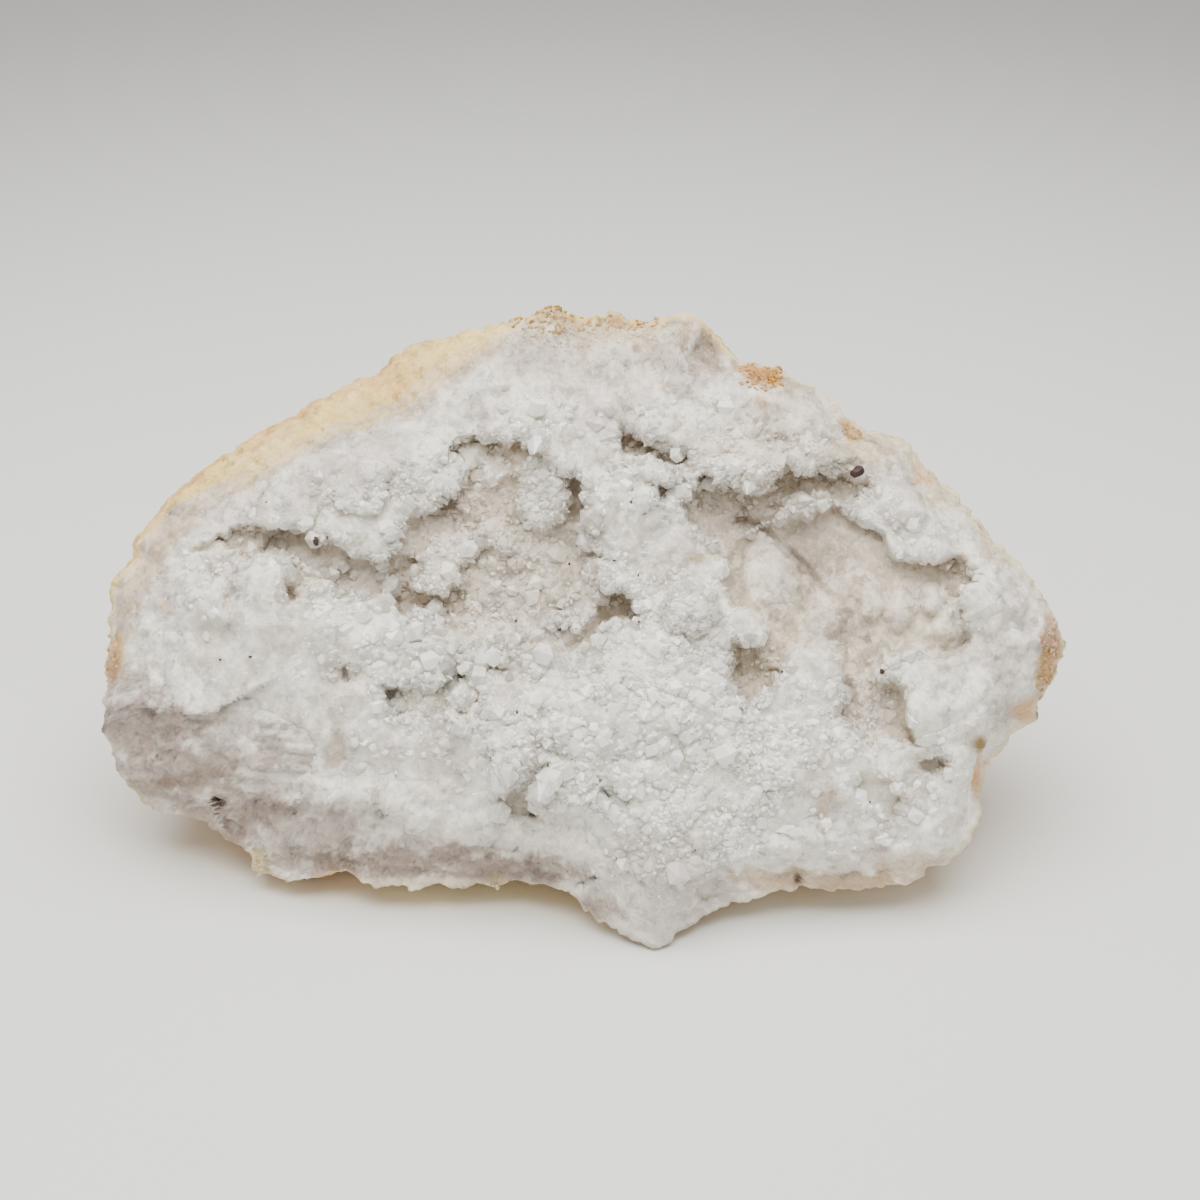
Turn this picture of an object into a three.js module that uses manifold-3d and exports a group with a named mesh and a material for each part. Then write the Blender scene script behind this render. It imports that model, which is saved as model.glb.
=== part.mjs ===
// A clear quartz geode, broken open and resting on its rind, so that the broken face looks forward and up.
// One rock: a cream rind over a thick wall of milky quartz. Its hollow is lined with a crust of quartz points.
// Millimetres, +Z up, +X to the right. The origin is on the surface it rests on, in the middle of its length and depth.
import * as THREE from "three";
import { mergeVertices } from "three/addons/utils/BufferGeometryUtils.js";
import Module from "manifold-3d";

const wasm = await Module();
wasm.setup();

// The face has its own axes: x to the right, y up along the face, z out of it.
const faceLean = THREE.MathUtils.degToRad(33); // the face's outward direction above the horizon
const faceHeight = 45.2; // the middle of the face above the surface
const faceRight = 0.25;
const faceBack = -14.6; // in front of the origin
const sightDistance = 400; // the face's outline and relief are measured from this far in front of it
const sightPoint = new THREE.Vector2(3.3, 6.7); // where that line of sight meets the face

const faceMiddle = new THREE.Vector2(4, 3); // the crust's edge is the rim drawn in towards here
const backDepth = 55; // from the face to the back of the rind
const backMiddle = new THREE.Vector2(4, -4); // the point of the face that the back's deepest point is behind
const backRoundness = 0.98; // 1 is an ellipse, less is fuller
const swellPeak = 0.17; // the share of the way to the back where the rind swells most
const backRings = 9;
const faceStep = 5; // between neighbouring points of the face
const crustGap = 0.3; // between the rock and the crust of crystals
const crustThickness = 2.4;
const crustEdgeThickness = 0.8;

// The broken rim, clockwise from the left: [x, y, set back from the face, swell of the rind behind it, width of the wall].
// A swell below 0 draws the rind in
const rim = [
  [-75.4, -5, 7, 5.5, 9],
  [-75.7, 2.5, 6, 6, 9],
  [-74.3, 7, 6, 6, 8],
  [-72.3, 11, 6, 6.5, 8],
  [-70.2, 15, 6, 7, 7],
  [-68, 18.3, 6, 7, 7],
  [-65.3, 21.2, 6, 7.5, 8],
  [-60.3, 23.8, 6, 8.5, 9],
  [-55, 27.5, 6, 10, 9],
  [-48.7, 30.8, 6, 10.5, 9],
  [-43, 34, 6, 10, 9],
  [-35.8, 36.3, 6, 10, 10],
  [-29.7, 39.5, 6, 9, 11],
  [-23.3, 43.7, 6, 8, 12],
  [-17.8, 48.7, 6, 6, 14],
  [-13.3, 51.5, 7, 4, 15],
  [-9.7, 53.8, 8, 2, 16],
  [-5.8, 55.8, 8, 1, 17],
  [-1.7, 54.2, 8, 1, 17],
  [3, 54.5, 8, 1, 17],
  [5.5, 55, 8, 1, 17],
  [9.3, 53.5, 8, 1, 16],
  [14.2, 54.3, 7, 1, 16],
  [18.3, 54.5, 7, 1, 15],
  [20.8, 52.5, 7, 1, 14],
  [23.3, 49.2, 8, 1, 11],
  [27, 45.8, 8, 1, 8],
  [32.8, 46, 7, 1, 9],
  [36.7, 43.3, 6, 1, 9],
  [40.3, 42, 6, 1, 9],
  [45, 36.8, 6, 1, 8],
  [50, 33.7, 6, 1, 8],
  [54.7, 32.3, 6, 1, 9],
  [59.2, 27.2, 6, 1, 8],
  [63.7, 21.3, 6, 1, 8],
  [69.2, 15.2, 6, 1, 9],
  [73.8, 12.3, 6, 1, 11],
  [78.3, 7, 7, 1, 13],
  [80, 2.2, 8, 1, 13],
  [81.5, -0.8, 9, 0, 14],
  [79.5, -5.3, 10, 0, 13],
  [76, -12.5, 12, 0, 11],
  [71.7, -17, 12, 0, 9],
  [68.8, -20.3, 11, 0, 7],
  [66.7, -25.8, 8, -1, 6],
  [66, -32, 6, -2, 7],
  [61.7, -36.7, 6, -2.5, 8],
  [55.3, -40.3, 6, -2.5, 9],
  [45, -41.5, 6, -2.5, 9],
  [36.7, -41.5, 6, -2.5, 8],
  [29.5, -43, 6, -3, 8],
  [25.8, -44.5, 6, -4, 9],
  [20, -46, 5, -5, 9],
  [15.8, -49.5, 3, -7, 10],
  [12.5, -52, 2, -8, 11],
  [8.7, -50.7, 3, -7.5, 10],
  [3.3, -47.5, 4, -5, 9],
  [-0.8, -43.3, 5, -3, 8],
  [-5, -41.3, 6, -2.5, 9],
  [-13.3, -41.3, 8, -2.5, 12],
  [-23.3, -41, 8, -2.5, 13],
  [-33.7, -41, 8, -2.5, 15],
  [-40, -38.7, 9, -2, 15],
  [-48.3, -40.3, 11, -2.5, 19],
  [-53.7, -39, 13, -2, 20],
  [-59.2, -32.5, 14, -1, 19],
  [-64.2, -29.7, 15, 1, 20],
  [-71.7, -28.5, 16, 1, 24],
  [-77, -23, 15, 1, 22],
  [-79.2, -16.7, 13, 1, 19],
  [-80.5, -10.3, 10, 2, 15],
];

// Hollows and swellings of the face and its hollow: [x, y, half width, half height, rise]
const relief = [
  [-47, 12, 13, 7, -12],
  [-33, 14, 8, 6, -7],
  [-17, 10, 18, 13, -20],
  [-10, 25, 14, 8, -12],
  [12.5, 32, 7, 3, -10],
  [27, 19, 9, 11, -17],
  [48, 9, 23, 15, -17],
  [22, -6.5, 7, 6, -9],
  [50, -27, 5, 7, -5],
  [59, -21, 4, 3, -3],
  [-31, -10, 4, 4, -7],
  [-41, -20, 4, 6, -4],
  [-62, -1, 5, 5, -4],
  [-43, 26, 15, 6, 2],
  [-55, 3, 13, 6, 2],
  [-6, -14, 16, 7, 2],
  [7, 20, 5, 14, 3],
  [13, -12, 18, 14, 3],
  [14, -36, 12, 10, 2],
  [60, -14, 11, 8, 3],
];

// Knobs of the crust, which stand out over its hollows: [x, y, z, half width, half height, half depth]
const knobs = [
  [-46, 22, -3, 12, 5.5, 6],
  [-29, 22, -4, 8, 5.5, 6],
  [-7, 25, -8, 5.5, 8, 7],
  [-25, 12, -12, 5.5, 6, 6],
  [-16, 31, -6, 4, 4.5, 5],
  [7, 20, -5, 6, 12, 7],
  [15, 29, -4, 5, 3.4, 5],
  [27, 30, -4, 10, 5, 6],
  [41, 28, -4, 8, 3, 5],
  [36, 23, -9, 6, 3, 5],
  [53, 20, -7, 8, 4, 5],
  [16, 9, -5, 9, 7, 7],
  [28, 2, -7, 5, 5, 5],
  [-26, -3, -6, 11, 3.6, 6],
  [-53, 7, -4, 12, 5, 6],
  [-1, 1, -13, 7, 5, 5],
  [33, 12, -15, 5, 12, 4],
  [45, 0, -14, 7, 9, 4],
  [-5, -25, 0, 4, 5, 4],
  [58, -8, -5, 7, 6, 6],
];

const crystalCount = 54;
const crystalRadius = [1.3, 2.4];
const crystalLength = [4, 8];
const crystalStray = 0.55; // how far a crystal's direction strays from square to the crust
const crystalTip = 0.45; // the share of a crystal's length in its point
// Large single crystals: [x, y, lean to the right, lean up, radius, length]
const largeCrystals = [
  [-5, -25.5, -0.5, -0.6, 3.2, 8],
  [-12, -22, -0.2, -0.7, 2.4, 6],
  [-5.5, -3, -0.3, 0.6, 2.6, 7],
  [-8.5, 34, 0.1, -0.9, 2.8, 8],
  [-31, 17, -0.6, -0.4, 1.8, 6],
  [29, 31, 0.2, -0.5, 2.2, 6],
];

// A repeatable stream of numbers from 0 to 1.
function randomStream(seed) {
  let state = seed;
  return () => {
    state = (state * 1664525 + 1013904223) % 4294967296;
    return state / 4294967296;
  };
}

// A smooth repeatable unevenness from -1 to 1.
function uneven(x, y, z) {
  const a = Math.sin(x * 0.91 + y * 0.37 + z * 0.53 + 1.3);
  const b = Math.sin(x * 0.29 - y * 0.83 + z * 0.71 + 4.1);
  const c = Math.sin(x * 0.47 + y * 1.13 - z * 0.31 + 2.2);
  return (a * b + c * a + b * c) / 1.8;
}

// A point measured on the face plane, moved along the line of sight to its own depth.
function seenAt(x, y, z) {
  const grow = 1 - z / sightDistance;
  return new THREE.Vector3(
    sightPoint.x + (x - sightPoint.x) * grow,
    sightPoint.y + (y - sightPoint.y) * grow,
    z,
  );
}

function mix(a, b, share) {
  return a + (b - a) * share;
}

// The nearest part of the rim: how far in it is, how far back the rim is set there and the width of the wall.
function nearestRim(x, y) {
  const nearest = { distance: Infinity, setBack: 0, wall: 0 };
  let inside = false;
  for (let i = 0; i < rim.length; i += 1) {
    const [ax, ay, backA, , wallA] = rim[i];
    const [bx, by, backB, , wallB] = rim[(i + 1) % rim.length];
    const along = ((x - ax) * (bx - ax) + (y - ay) * (by - ay)) / ((bx - ax) ** 2 + (by - ay) ** 2);
    const share = THREE.MathUtils.clamp(along, 0, 1);
    const distance = Math.hypot(x - mix(ax, bx, share), y - mix(ay, by, share));
    if (distance < nearest.distance) {
      nearest.distance = distance;
      nearest.setBack = mix(backA, backB, share);
      nearest.wall = mix(wallA, wallB, share);
    }
    if (ay > y !== by > y && x < ax + ((y - ay) / (by - ay)) * (bx - ax)) inside = !inside;
  }
  if (!inside) nearest.distance = 0;
  return nearest;
}

// The rock's face and the floor of its hollow.
function rockFront(x, y) {
  let floor = 0.7 * uneven(x / 2, y / 2, 0);
  for (const [cx, cy, halfWidth, halfHeight, rise] of relief) {
    const reach = ((x - cx) / halfWidth) ** 2 + ((y - cy) / halfHeight) ** 2;
    floor += rise * Math.exp(-(reach ** 1.7));
  }
  const { distance, setBack, wall } = nearestRim(x, y);
  const share = Math.min(1, distance / wall);
  return mix(-setBack, floor, Math.sin((share * Math.PI) / 2));
}

// How far the crust's surface is above the rock's: thin at its edge.
function crustHeight(x, y) {
  const { distance, wall } = nearestRim(x, y);
  const share = THREE.MathUtils.clamp((distance - wall) / 9, 0, 1);
  return crustGap + mix(crustEdgeThickness, crustThickness, share);
}

// Rim point i moved in by the wall's width: where the crust of crystals begins.
function crustEdge(i) {
  const [x, y, , , wall] = rim[i];
  const share = 1 - wall / Math.hypot(x - faceMiddle.x, y - faceMiddle.y);
  return [mix(faceMiddle.x, x, share), mix(faceMiddle.y, y, share)];
}

// Rings of points round the back of the rind, from the rim to its deepest point.
function backPoints() {
  const rings = [];
  for (let ring = 0; ring < backRings; ring += 1) {
    const way = ring / backRings;
    const narrowing = Math.cos((way * Math.PI) / 2) ** backRoundness;
    const deepening = Math.sin((way * Math.PI) / 2);
    const swelling = (way / swellPeak) * Math.exp(1 - way / swellPeak);
    rings.push(
      rim.map(([x, y, setBack, swell]) => {
        const edge = seenAt(x, y, -setBack);
        const z = mix(-setBack, -backDepth, deepening);
        const reach = Math.hypot(edge.x - backMiddle.x, edge.y - backMiddle.y);
        const lump = 2.2 * uneven(edge.x / 7, edge.y / 7, z / 7) * Math.min(1, way * 4);
        const radius = reach * narrowing + swell * swelling + lump;
        return new THREE.Vector3(
          mix(backMiddle.x, edge.x, radius / reach),
          mix(backMiddle.y, edge.y, radius / reach),
          z,
        );
      }),
    );
  }
  rings.push([new THREE.Vector3(backMiddle.x, backMiddle.y, -backDepth)]);
  return rings;
}

// Faces between rings that run clockwise, each facing away from the middle where the rings lead back.
function addRings(rings, positions) {
  for (let k = 0; k + 1 < rings.length; k += 1) {
    const near = rings[k];
    const far = rings[k + 1];
    for (let i = 0; i < Math.max(near.length, far.length); i += 1) {
      const a = near[i % near.length];
      const b = near[(i + 1) % near.length];
      const c = far[i % far.length];
      const d = far[(i + 1) % far.length];
      for (const corner of [a, b, c, b, d, c]) positions.push(corner.x, corner.y, corner.z);
    }
  }
}

function geometryFrom(positions) {
  const geometry = new THREE.BufferGeometry();
  geometry.setAttribute("position", new THREE.Float32BufferAttribute(positions, 3));
  return geometry;
}

function solidFrom(geometry) {
  const bare = geometry.clone();
  bare.deleteAttribute("normal");
  bare.deleteAttribute("uv");
  const merged = mergeVertices(bare, 1e-4);
  const corners = merged.index.array;
  const kept = [];
  for (let i = 0; i < corners.length; i += 3) {
    const [a, b, c] = [corners[i], corners[i + 1], corners[i + 2]];
    if (a !== b && b !== c && c !== a) kept.push(a, b, c);
  }
  return new wasm.Manifold(
    new wasm.Mesh({
      numProp: 3,
      vertProperties: new Float32Array(merged.attributes.position.array),
      triVerts: new Uint32Array(kept),
    }),
  );
}

function geometryOf(solid) {
  const made = solid.getMesh();
  const geometry = new THREE.BufferGeometry();
  geometry.setAttribute("position", new THREE.BufferAttribute(new Float32Array(made.vertProperties), 3));
  geometry.setIndex(new THREE.BufferAttribute(new Uint32Array(made.triVerts), 1));
  geometry.computeVertexNormals();
  return geometry;
}

// Everything behind a surface over the whole face, given by its height at each point.
function behindSurface(heightAt) {
  const columns = Math.ceil(186 / faceStep);
  const rows = Math.ceil(122 / (faceStep * 0.87));
  const rowStep = faceStep * 0.87;
  const point = (column, row) => {
    const shift = row % 2 === 0 ? 0 : 0.5;
    const x = (column + shift - columns / 2) * faceStep + 0.9 * Math.sin(column * 7.1 + row * 3.3);
    const y = (row - rows / 2) * rowStep + 0.9 * Math.sin(column * 2.9 + row * 8.7);
    return [x, y];
  };
  const front = (column, row) => {
    const [x, y] = point(column, row);
    return seenAt(x, y, heightAt(x, y));
  };
  const back = (column, row) => {
    const [x, y] = point(column, row);
    return seenAt(x, y, -110);
  };
  const positions = [];
  const push = (...corners) => {
    for (const corner of corners) positions.push(corner.x, corner.y, corner.z);
  };
  for (let row = 0; row < rows; row += 1) {
    for (let column = 0; column < columns; column += 1) {
      const here = [column, row];
      const right = [column + 1, row];
      const above = [column, row + 1];
      const across = [column + 1, row + 1];
      const split = row % 2 === 0 ? [above, right] : [across, here];
      const halves = [[here, right, split[0]], [split[1], across, above]];
      for (const [a, b, c] of halves) {
        push(front(...a), front(...b), front(...c));
        push(back(...a), back(...c), back(...b));
      }
    }
  }
  const border = [];
  for (let column = 0; column < columns; column += 1) border.push([column, 0]);
  for (let row = 0; row < rows; row += 1) border.push([columns, row]);
  for (let column = columns; column > 0; column -= 1) border.push([column, rows]);
  for (let row = rows; row > 0; row -= 1) border.push([0, row]);
  border.forEach((here, i) => {
    const next = border[(i + 1) % border.length];
    push(front(...here), back(...here), back(...next));
    push(front(...here), back(...next), front(...next));
  });
  return solidFrom(geometryFrom(positions));
}

// Everything in front of the rind's back and within the rim, along the line of sight.
function withinRim() {
  const front = rim.map(([x, y]) => seenAt(x, y, 20));
  const positions = [];
  addRings([[seenAt(faceMiddle.x, faceMiddle.y, 20)], front, ...backPoints()], positions);
  return solidFrom(geometryFrom(positions));
}

// Everything within the crust's edge, along the line of sight.
function withinCrustEdge() {
  const edges = rim.map((_, i) => crustEdge(i));
  const rings = [20, -60].map((z) => edges.map(([x, y]) => seenAt(x, y, z)));
  const middles = [20, -60].map((z) => seenAt(faceMiddle.x, faceMiddle.y, z));
  const positions = [];
  addRings([[middles[0]], ...rings, [middles[1]]], positions);
  return solidFrom(geometryFrom(positions));
}

// What lies below the surface that the rock rests on, in the face's axes.
function groundSolid() {
  const size = 400;
  const ground = new THREE.BoxGeometry(size, size, size);
  ground.translate(0, 0, -size / 2);
  ground.applyMatrix4(facePlacement().invert());
  return solidFrom(ground);
}

function facePlacement() {
  const placement = new THREE.Matrix4().makeRotationX(Math.PI / 2 - faceLean);
  placement.setPosition(faceRight, faceBack, faceHeight);
  return placement;
}

// A six-sided crystal along +Z with a pointed end, its root at z 0.
function crystalGeometry(radius, length) {
  const profile = [
    new THREE.Vector2(0, 0),
    new THREE.Vector2(radius * 0.85, 0),
    new THREE.Vector2(radius, length * (1 - crystalTip)),
    new THREE.Vector2(0, length),
  ];
  return new THREE.LatheGeometry(profile, 6).rotateX(Math.PI / 2);
}

// A knob with flat facets, made of two blocky crystals grown into one another.
function knobSolids([x, y, z, halfWidth, halfHeight, halfDepth]) {
  const place = seenAt(x, y, z);
  return [-1, 1].map((side) => {
    const block = new THREE.IcosahedronGeometry(1, 0);
    block.rotateZ(side * 1.1 + x);
    block.rotateX(side * 0.8 + y);
    const stretch = side < 0 ? 1 : 0.8;
    block.scale(halfWidth * stretch, halfHeight * stretch, halfDepth * stretch);
    const wide = halfWidth > halfHeight;
    block.translate(
      place.x + (wide ? side * halfWidth * 0.4 : side),
      place.y + (wide ? side : side * halfHeight * 0.4),
      place.z + 0.6 * Math.sin(x + side * 2),
    );
    return solidFrom(block);
  });
}

// A crystal rooted in the crust at a point of the face, pointing the given way.
function crystalSolid(x, y, direction, radius, length, root) {
  const crystal = crystalGeometry(radius, length);
  crystal.rotateZ(x * 3.7 + y);
  const turn = new THREE.Quaternion().setFromUnitVectors(new THREE.Vector3(0, 0, 1), direction);
  crystal.applyQuaternion(turn);
  const place = seenAt(x, y, root);
  crystal.translate(place.x, place.y, place.z);
  return solidFrom(crystal);
}

// The direction square to the crust at a point of the face.
function crustDirection(x, y) {
  const step = 1.5;
  const slopeX = (rockFront(x + step, y) - rockFront(x - step, y)) / (2 * step);
  const slopeY = (rockFront(x, y + step) - rockFront(x, y - step)) / (2 * step);
  return new THREE.Vector3(-slopeX, -slopeY, 1).normalize();
}

function scatteredCrystals() {
  const random = randomStream(20);
  const solids = [];
  while (solids.length < crystalCount) {
    const i = Math.floor(random() * rim.length);
    const share = Math.sqrt(random()) * 0.96;
    const [edgeX, edgeY] = crustEdge(i);
    const [nextX, nextY] = crustEdge((i + 1) % rim.length);
    const between = random();
    const x = mix(faceMiddle.x, mix(edgeX, nextX, between), share);
    const y = mix(faceMiddle.y, mix(edgeY, nextY, between), share);
    const stray = new THREE.Vector3(random() - 0.5, random() - 0.5, 0).multiplyScalar(2 * crystalStray);
    const direction = crustDirection(x, y).add(stray).normalize();
    const radius = mix(crystalRadius[0], crystalRadius[1], random());
    const length = mix(crystalLength[0], crystalLength[1], random());
    const root = rockFront(x, y) + crustThickness - length * 0.3;
    solids.push(crystalSolid(x, y, direction, radius, length, root));
  }
  return solids;
}

function crustSolid() {
  const bed = behindSurface((x, y) => rockFront(x, y) + crustHeight(x, y)).intersect(withinCrustEdge());
  const large = largeCrystals.map(([x, y, right, up, radius, length]) => {
    const direction = new THREE.Vector3(right, up, 1).normalize();
    return crystalSolid(x, y, direction, radius, length, rockFront(x, y) + crustThickness - 2);
  });
  const grown = [...knobs.flatMap(knobSolids), ...scatteredCrystals(), ...large];
  const rockAndGap = behindSurface((x, y) => rockFront(x, y) + crustGap);
  return grown.reduce((crust, part) => crust.add(part), bed).subtract(rockAndGap).subtract(groundSolid());
}

function rockSolid() {
  return withinRim().intersect(behindSurface(rockFront)).subtract(groundSolid());
}

function quartzMaterial(colour, roughness) {
  return new THREE.MeshStandardMaterial({ color: colour, roughness, metalness: 0, flatShading: true });
}

function makeGeode() {
  const geode = new THREE.Group();
  facePlacement().decompose(geode.position, geode.quaternion, geode.scale);

  const rock = new THREE.Mesh(geometryOf(rockSolid()), quartzMaterial(0xd9c7a6, 0.9));
  rock.name = "rock_shell";
  geode.add(rock);

  const crust = new THREE.Mesh(geometryOf(crustSolid()), quartzMaterial(0xe9e8e4, 0.25));
  crust.name = "crystal_crust";
  geode.add(crust);
  return geode;
}

export default makeGeode();
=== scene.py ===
import itertools
import math

import bmesh
import bpy
import numpy as np
from mathutils import Matrix, Vector
from mathutils.bvhtree import BVHTree


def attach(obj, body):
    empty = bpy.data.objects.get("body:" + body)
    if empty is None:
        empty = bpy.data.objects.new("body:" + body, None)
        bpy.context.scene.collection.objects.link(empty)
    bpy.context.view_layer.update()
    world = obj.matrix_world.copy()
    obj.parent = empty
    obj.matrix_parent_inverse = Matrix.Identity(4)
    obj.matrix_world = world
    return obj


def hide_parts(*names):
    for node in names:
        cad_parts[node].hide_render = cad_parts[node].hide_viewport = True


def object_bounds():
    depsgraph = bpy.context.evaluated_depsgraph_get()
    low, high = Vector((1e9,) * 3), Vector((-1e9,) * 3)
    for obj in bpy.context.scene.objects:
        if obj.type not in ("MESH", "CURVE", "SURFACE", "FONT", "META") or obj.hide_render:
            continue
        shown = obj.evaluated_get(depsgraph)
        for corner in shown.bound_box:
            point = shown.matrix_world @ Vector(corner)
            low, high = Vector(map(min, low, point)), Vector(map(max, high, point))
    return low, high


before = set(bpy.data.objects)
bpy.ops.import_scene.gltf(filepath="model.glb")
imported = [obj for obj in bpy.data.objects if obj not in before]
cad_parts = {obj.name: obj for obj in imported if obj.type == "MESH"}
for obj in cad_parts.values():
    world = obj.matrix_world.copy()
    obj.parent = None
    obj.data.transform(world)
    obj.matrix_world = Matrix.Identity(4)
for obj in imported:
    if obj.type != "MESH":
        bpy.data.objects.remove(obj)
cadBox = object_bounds()
print("frame loaded")

# The broken face has its own axes in mm: x right, y up along the face, z out of it.
faceLean = math.radians(33)
faceOrigin = np.array([0.25, -14.6, 45.2])
faceRight = np.array([1.0, 0.0, 0.0])
faceUp = np.array([0.0, math.sin(faceLean), math.cos(faceLean)])
faceOut = np.array([0.0, -math.cos(faceLean), math.sin(faceLean)])
sightDistance = 400.0
sightPoint = np.array([3.33, 6.67])

# Outlines below were followed on the picture, where 6 pixels are 1 mm on the face.
pixelsPerMm = 6
facePixel = (580, 640)

rng = np.random.default_rng(11)

# broken rim, clockwise from the left: x, y, set back, swell of the rind behind, width of the wall
rim = np.array(
    [
        (-77.6, -5, 7, 3.5, 9), (-77.2, 2.5, 6, 4.6, 9), (-75.4, 7, 6, 5, 8), (-72.8, 11, 6, 6, 8),
        (-70.2, 15, 6, 7, 7), (-68, 18.3, 6, 7, 7), (-65.3, 21.2, 6, 7.5, 8), (-60.3, 23.8, 6, 8.5, 9),
        (-55, 27.5, 6, 10, 9), (-48.7, 30.8, 6, 10.5, 9), (-43, 34, 6, 10, 9), (-35.8, 36.3, 6, 10, 10),
        (-29.7, 39.5, 6, 9, 11), (-23.3, 43.7, 6, 8, 12), (-17.8, 48.7, 6, 6, 14), (-13.3, 51.5, 7, 4, 15),
        (-9.7, 53.8, 8, 2, 16), (-5.8, 55.8, 8, 1, 17), (-1.7, 54.2, 8, 1, 17), (3, 54.5, 8, 1, 17),
        (5.5, 55, 8, 1, 17), (9.3, 53.5, 8, 1, 16), (14.2, 54.3, 7, 1, 16), (18.3, 54.5, 7, 1, 15),
        (20.8, 52.5, 7, 1, 14), (23.3, 49.2, 8, 1, 11), (27, 45.8, 8, 1, 8), (32.8, 46, 7, 1, 9),
        (36.7, 43.3, 6, 1, 9), (40.3, 42, 6, 1, 9), (45, 36.8, 6, 1, 8), (50, 33.7, 6, 1, 8),
        (54.7, 32.3, 6, 1, 9), (59.2, 27.2, 6, 1, 8), (63.7, 21.3, 6, 1, 8), (69.2, 15.2, 6, 1, 9),
        (73.8, 12.3, 6, 1, 11), (78.3, 7, 7, 1, 13), (80, 2.2, 8, 1, 13), (81.5, -0.8, 9, 0, 14),
        (79.5, -5.3, 10, 0, 13), (76, -12.5, 12, 0, 11), (71.7, -17, 12, 0, 9), (68.8, -20.3, 11, 0, 7),
        (66.7, -25.8, 8, -1, 6), (66, -32, 6, -2, 7), (61.7, -36.7, 6, -2.5, 8), (55.3, -40.3, 6, -2.5, 9),
        (45, -41.5, 6, -2.5, 9), (36.7, -41.5, 6, -2.5, 8), (29.5, -43, 6, -3, 8), (25.8, -44.5, 6, -4, 9),
        (20, -46, 5, -5, 9), (15.8, -49.5, 3, -7, 10), (12.5, -52, 2, -8, 11), (8.7, -50.7, 3, -7.5, 10),
        (3.3, -47.5, 4, -5, 9), (-0.8, -43.3, 5, -3, 8), (-5, -41.3, 6, -2.5, 9),
        (-13.3, -41.3, 8, -2.5, 12),
        (-23.3, -41, 8, -2.5, 13), (-33.7, -41, 8, -2.5, 15), (-40, -38.7, 9, -2, 15),
        (-48.3, -40.3, 11, -2.5, 19), (-53.7, -39, 13, -2, 20), (-59.2, -32.5, 14, -1.5, 19),
        (-64.2, -29.7, 15, -1, 20), (-71.7, -28.5, 16, -1.5, 24), (-77, -23, 15, -1, 22),
        (-79.2, -16.7, 13, -0.5, 19), (-80.5, -10.3, 10, 0.5, 15),
    ]
)

# where the crystal points grow: x, y, half width, half height, how densely
druses = [
    (-12, 16, 19, 19, 1), (-27, -5, 14, 8, 1), (11, -14, 27, 24, 1), (24, 28, 22, 8, 0.8),
    (44, -8, 11, 12, 0.5), (-50, 2, 17, 13, 0.3), (60, 12, 12, 12, 0.2), (0, 45, 26, 8, 0.2),
]

# where the quartz is smooth, and where it is massive: x, y, half width, half height, how much less
smoothEllipse = (42, 7, 19, 13.5)
massiveEllipses = [(-59, -13, 24, 19, 0), (-28, -33, 34, 9, 0), (64, -8, 13, 13, 0.2)]

# soft swellings of the face in mm: x, y, half width, half height, rise
swellings = [
    (-43, 27, 15, 6, 2.5), (-55, 4, 13, 6, 2.5), (-6, -14, 16, 7, 2), (7, 24, 5, 12, 2.5),
    (14, -10, 15, 12, 4.5), (14, -34, 12, 10, 4), (62, -13, 9, 7, 4), (-30, -28, 14, 6, 2),
    (-38, 0, 8, 4, 2.5), (26, 31, 9, 5, 2), (4, 8, 6, 4, 2), (36, -20, 8, 6, 1.5),
]

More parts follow.
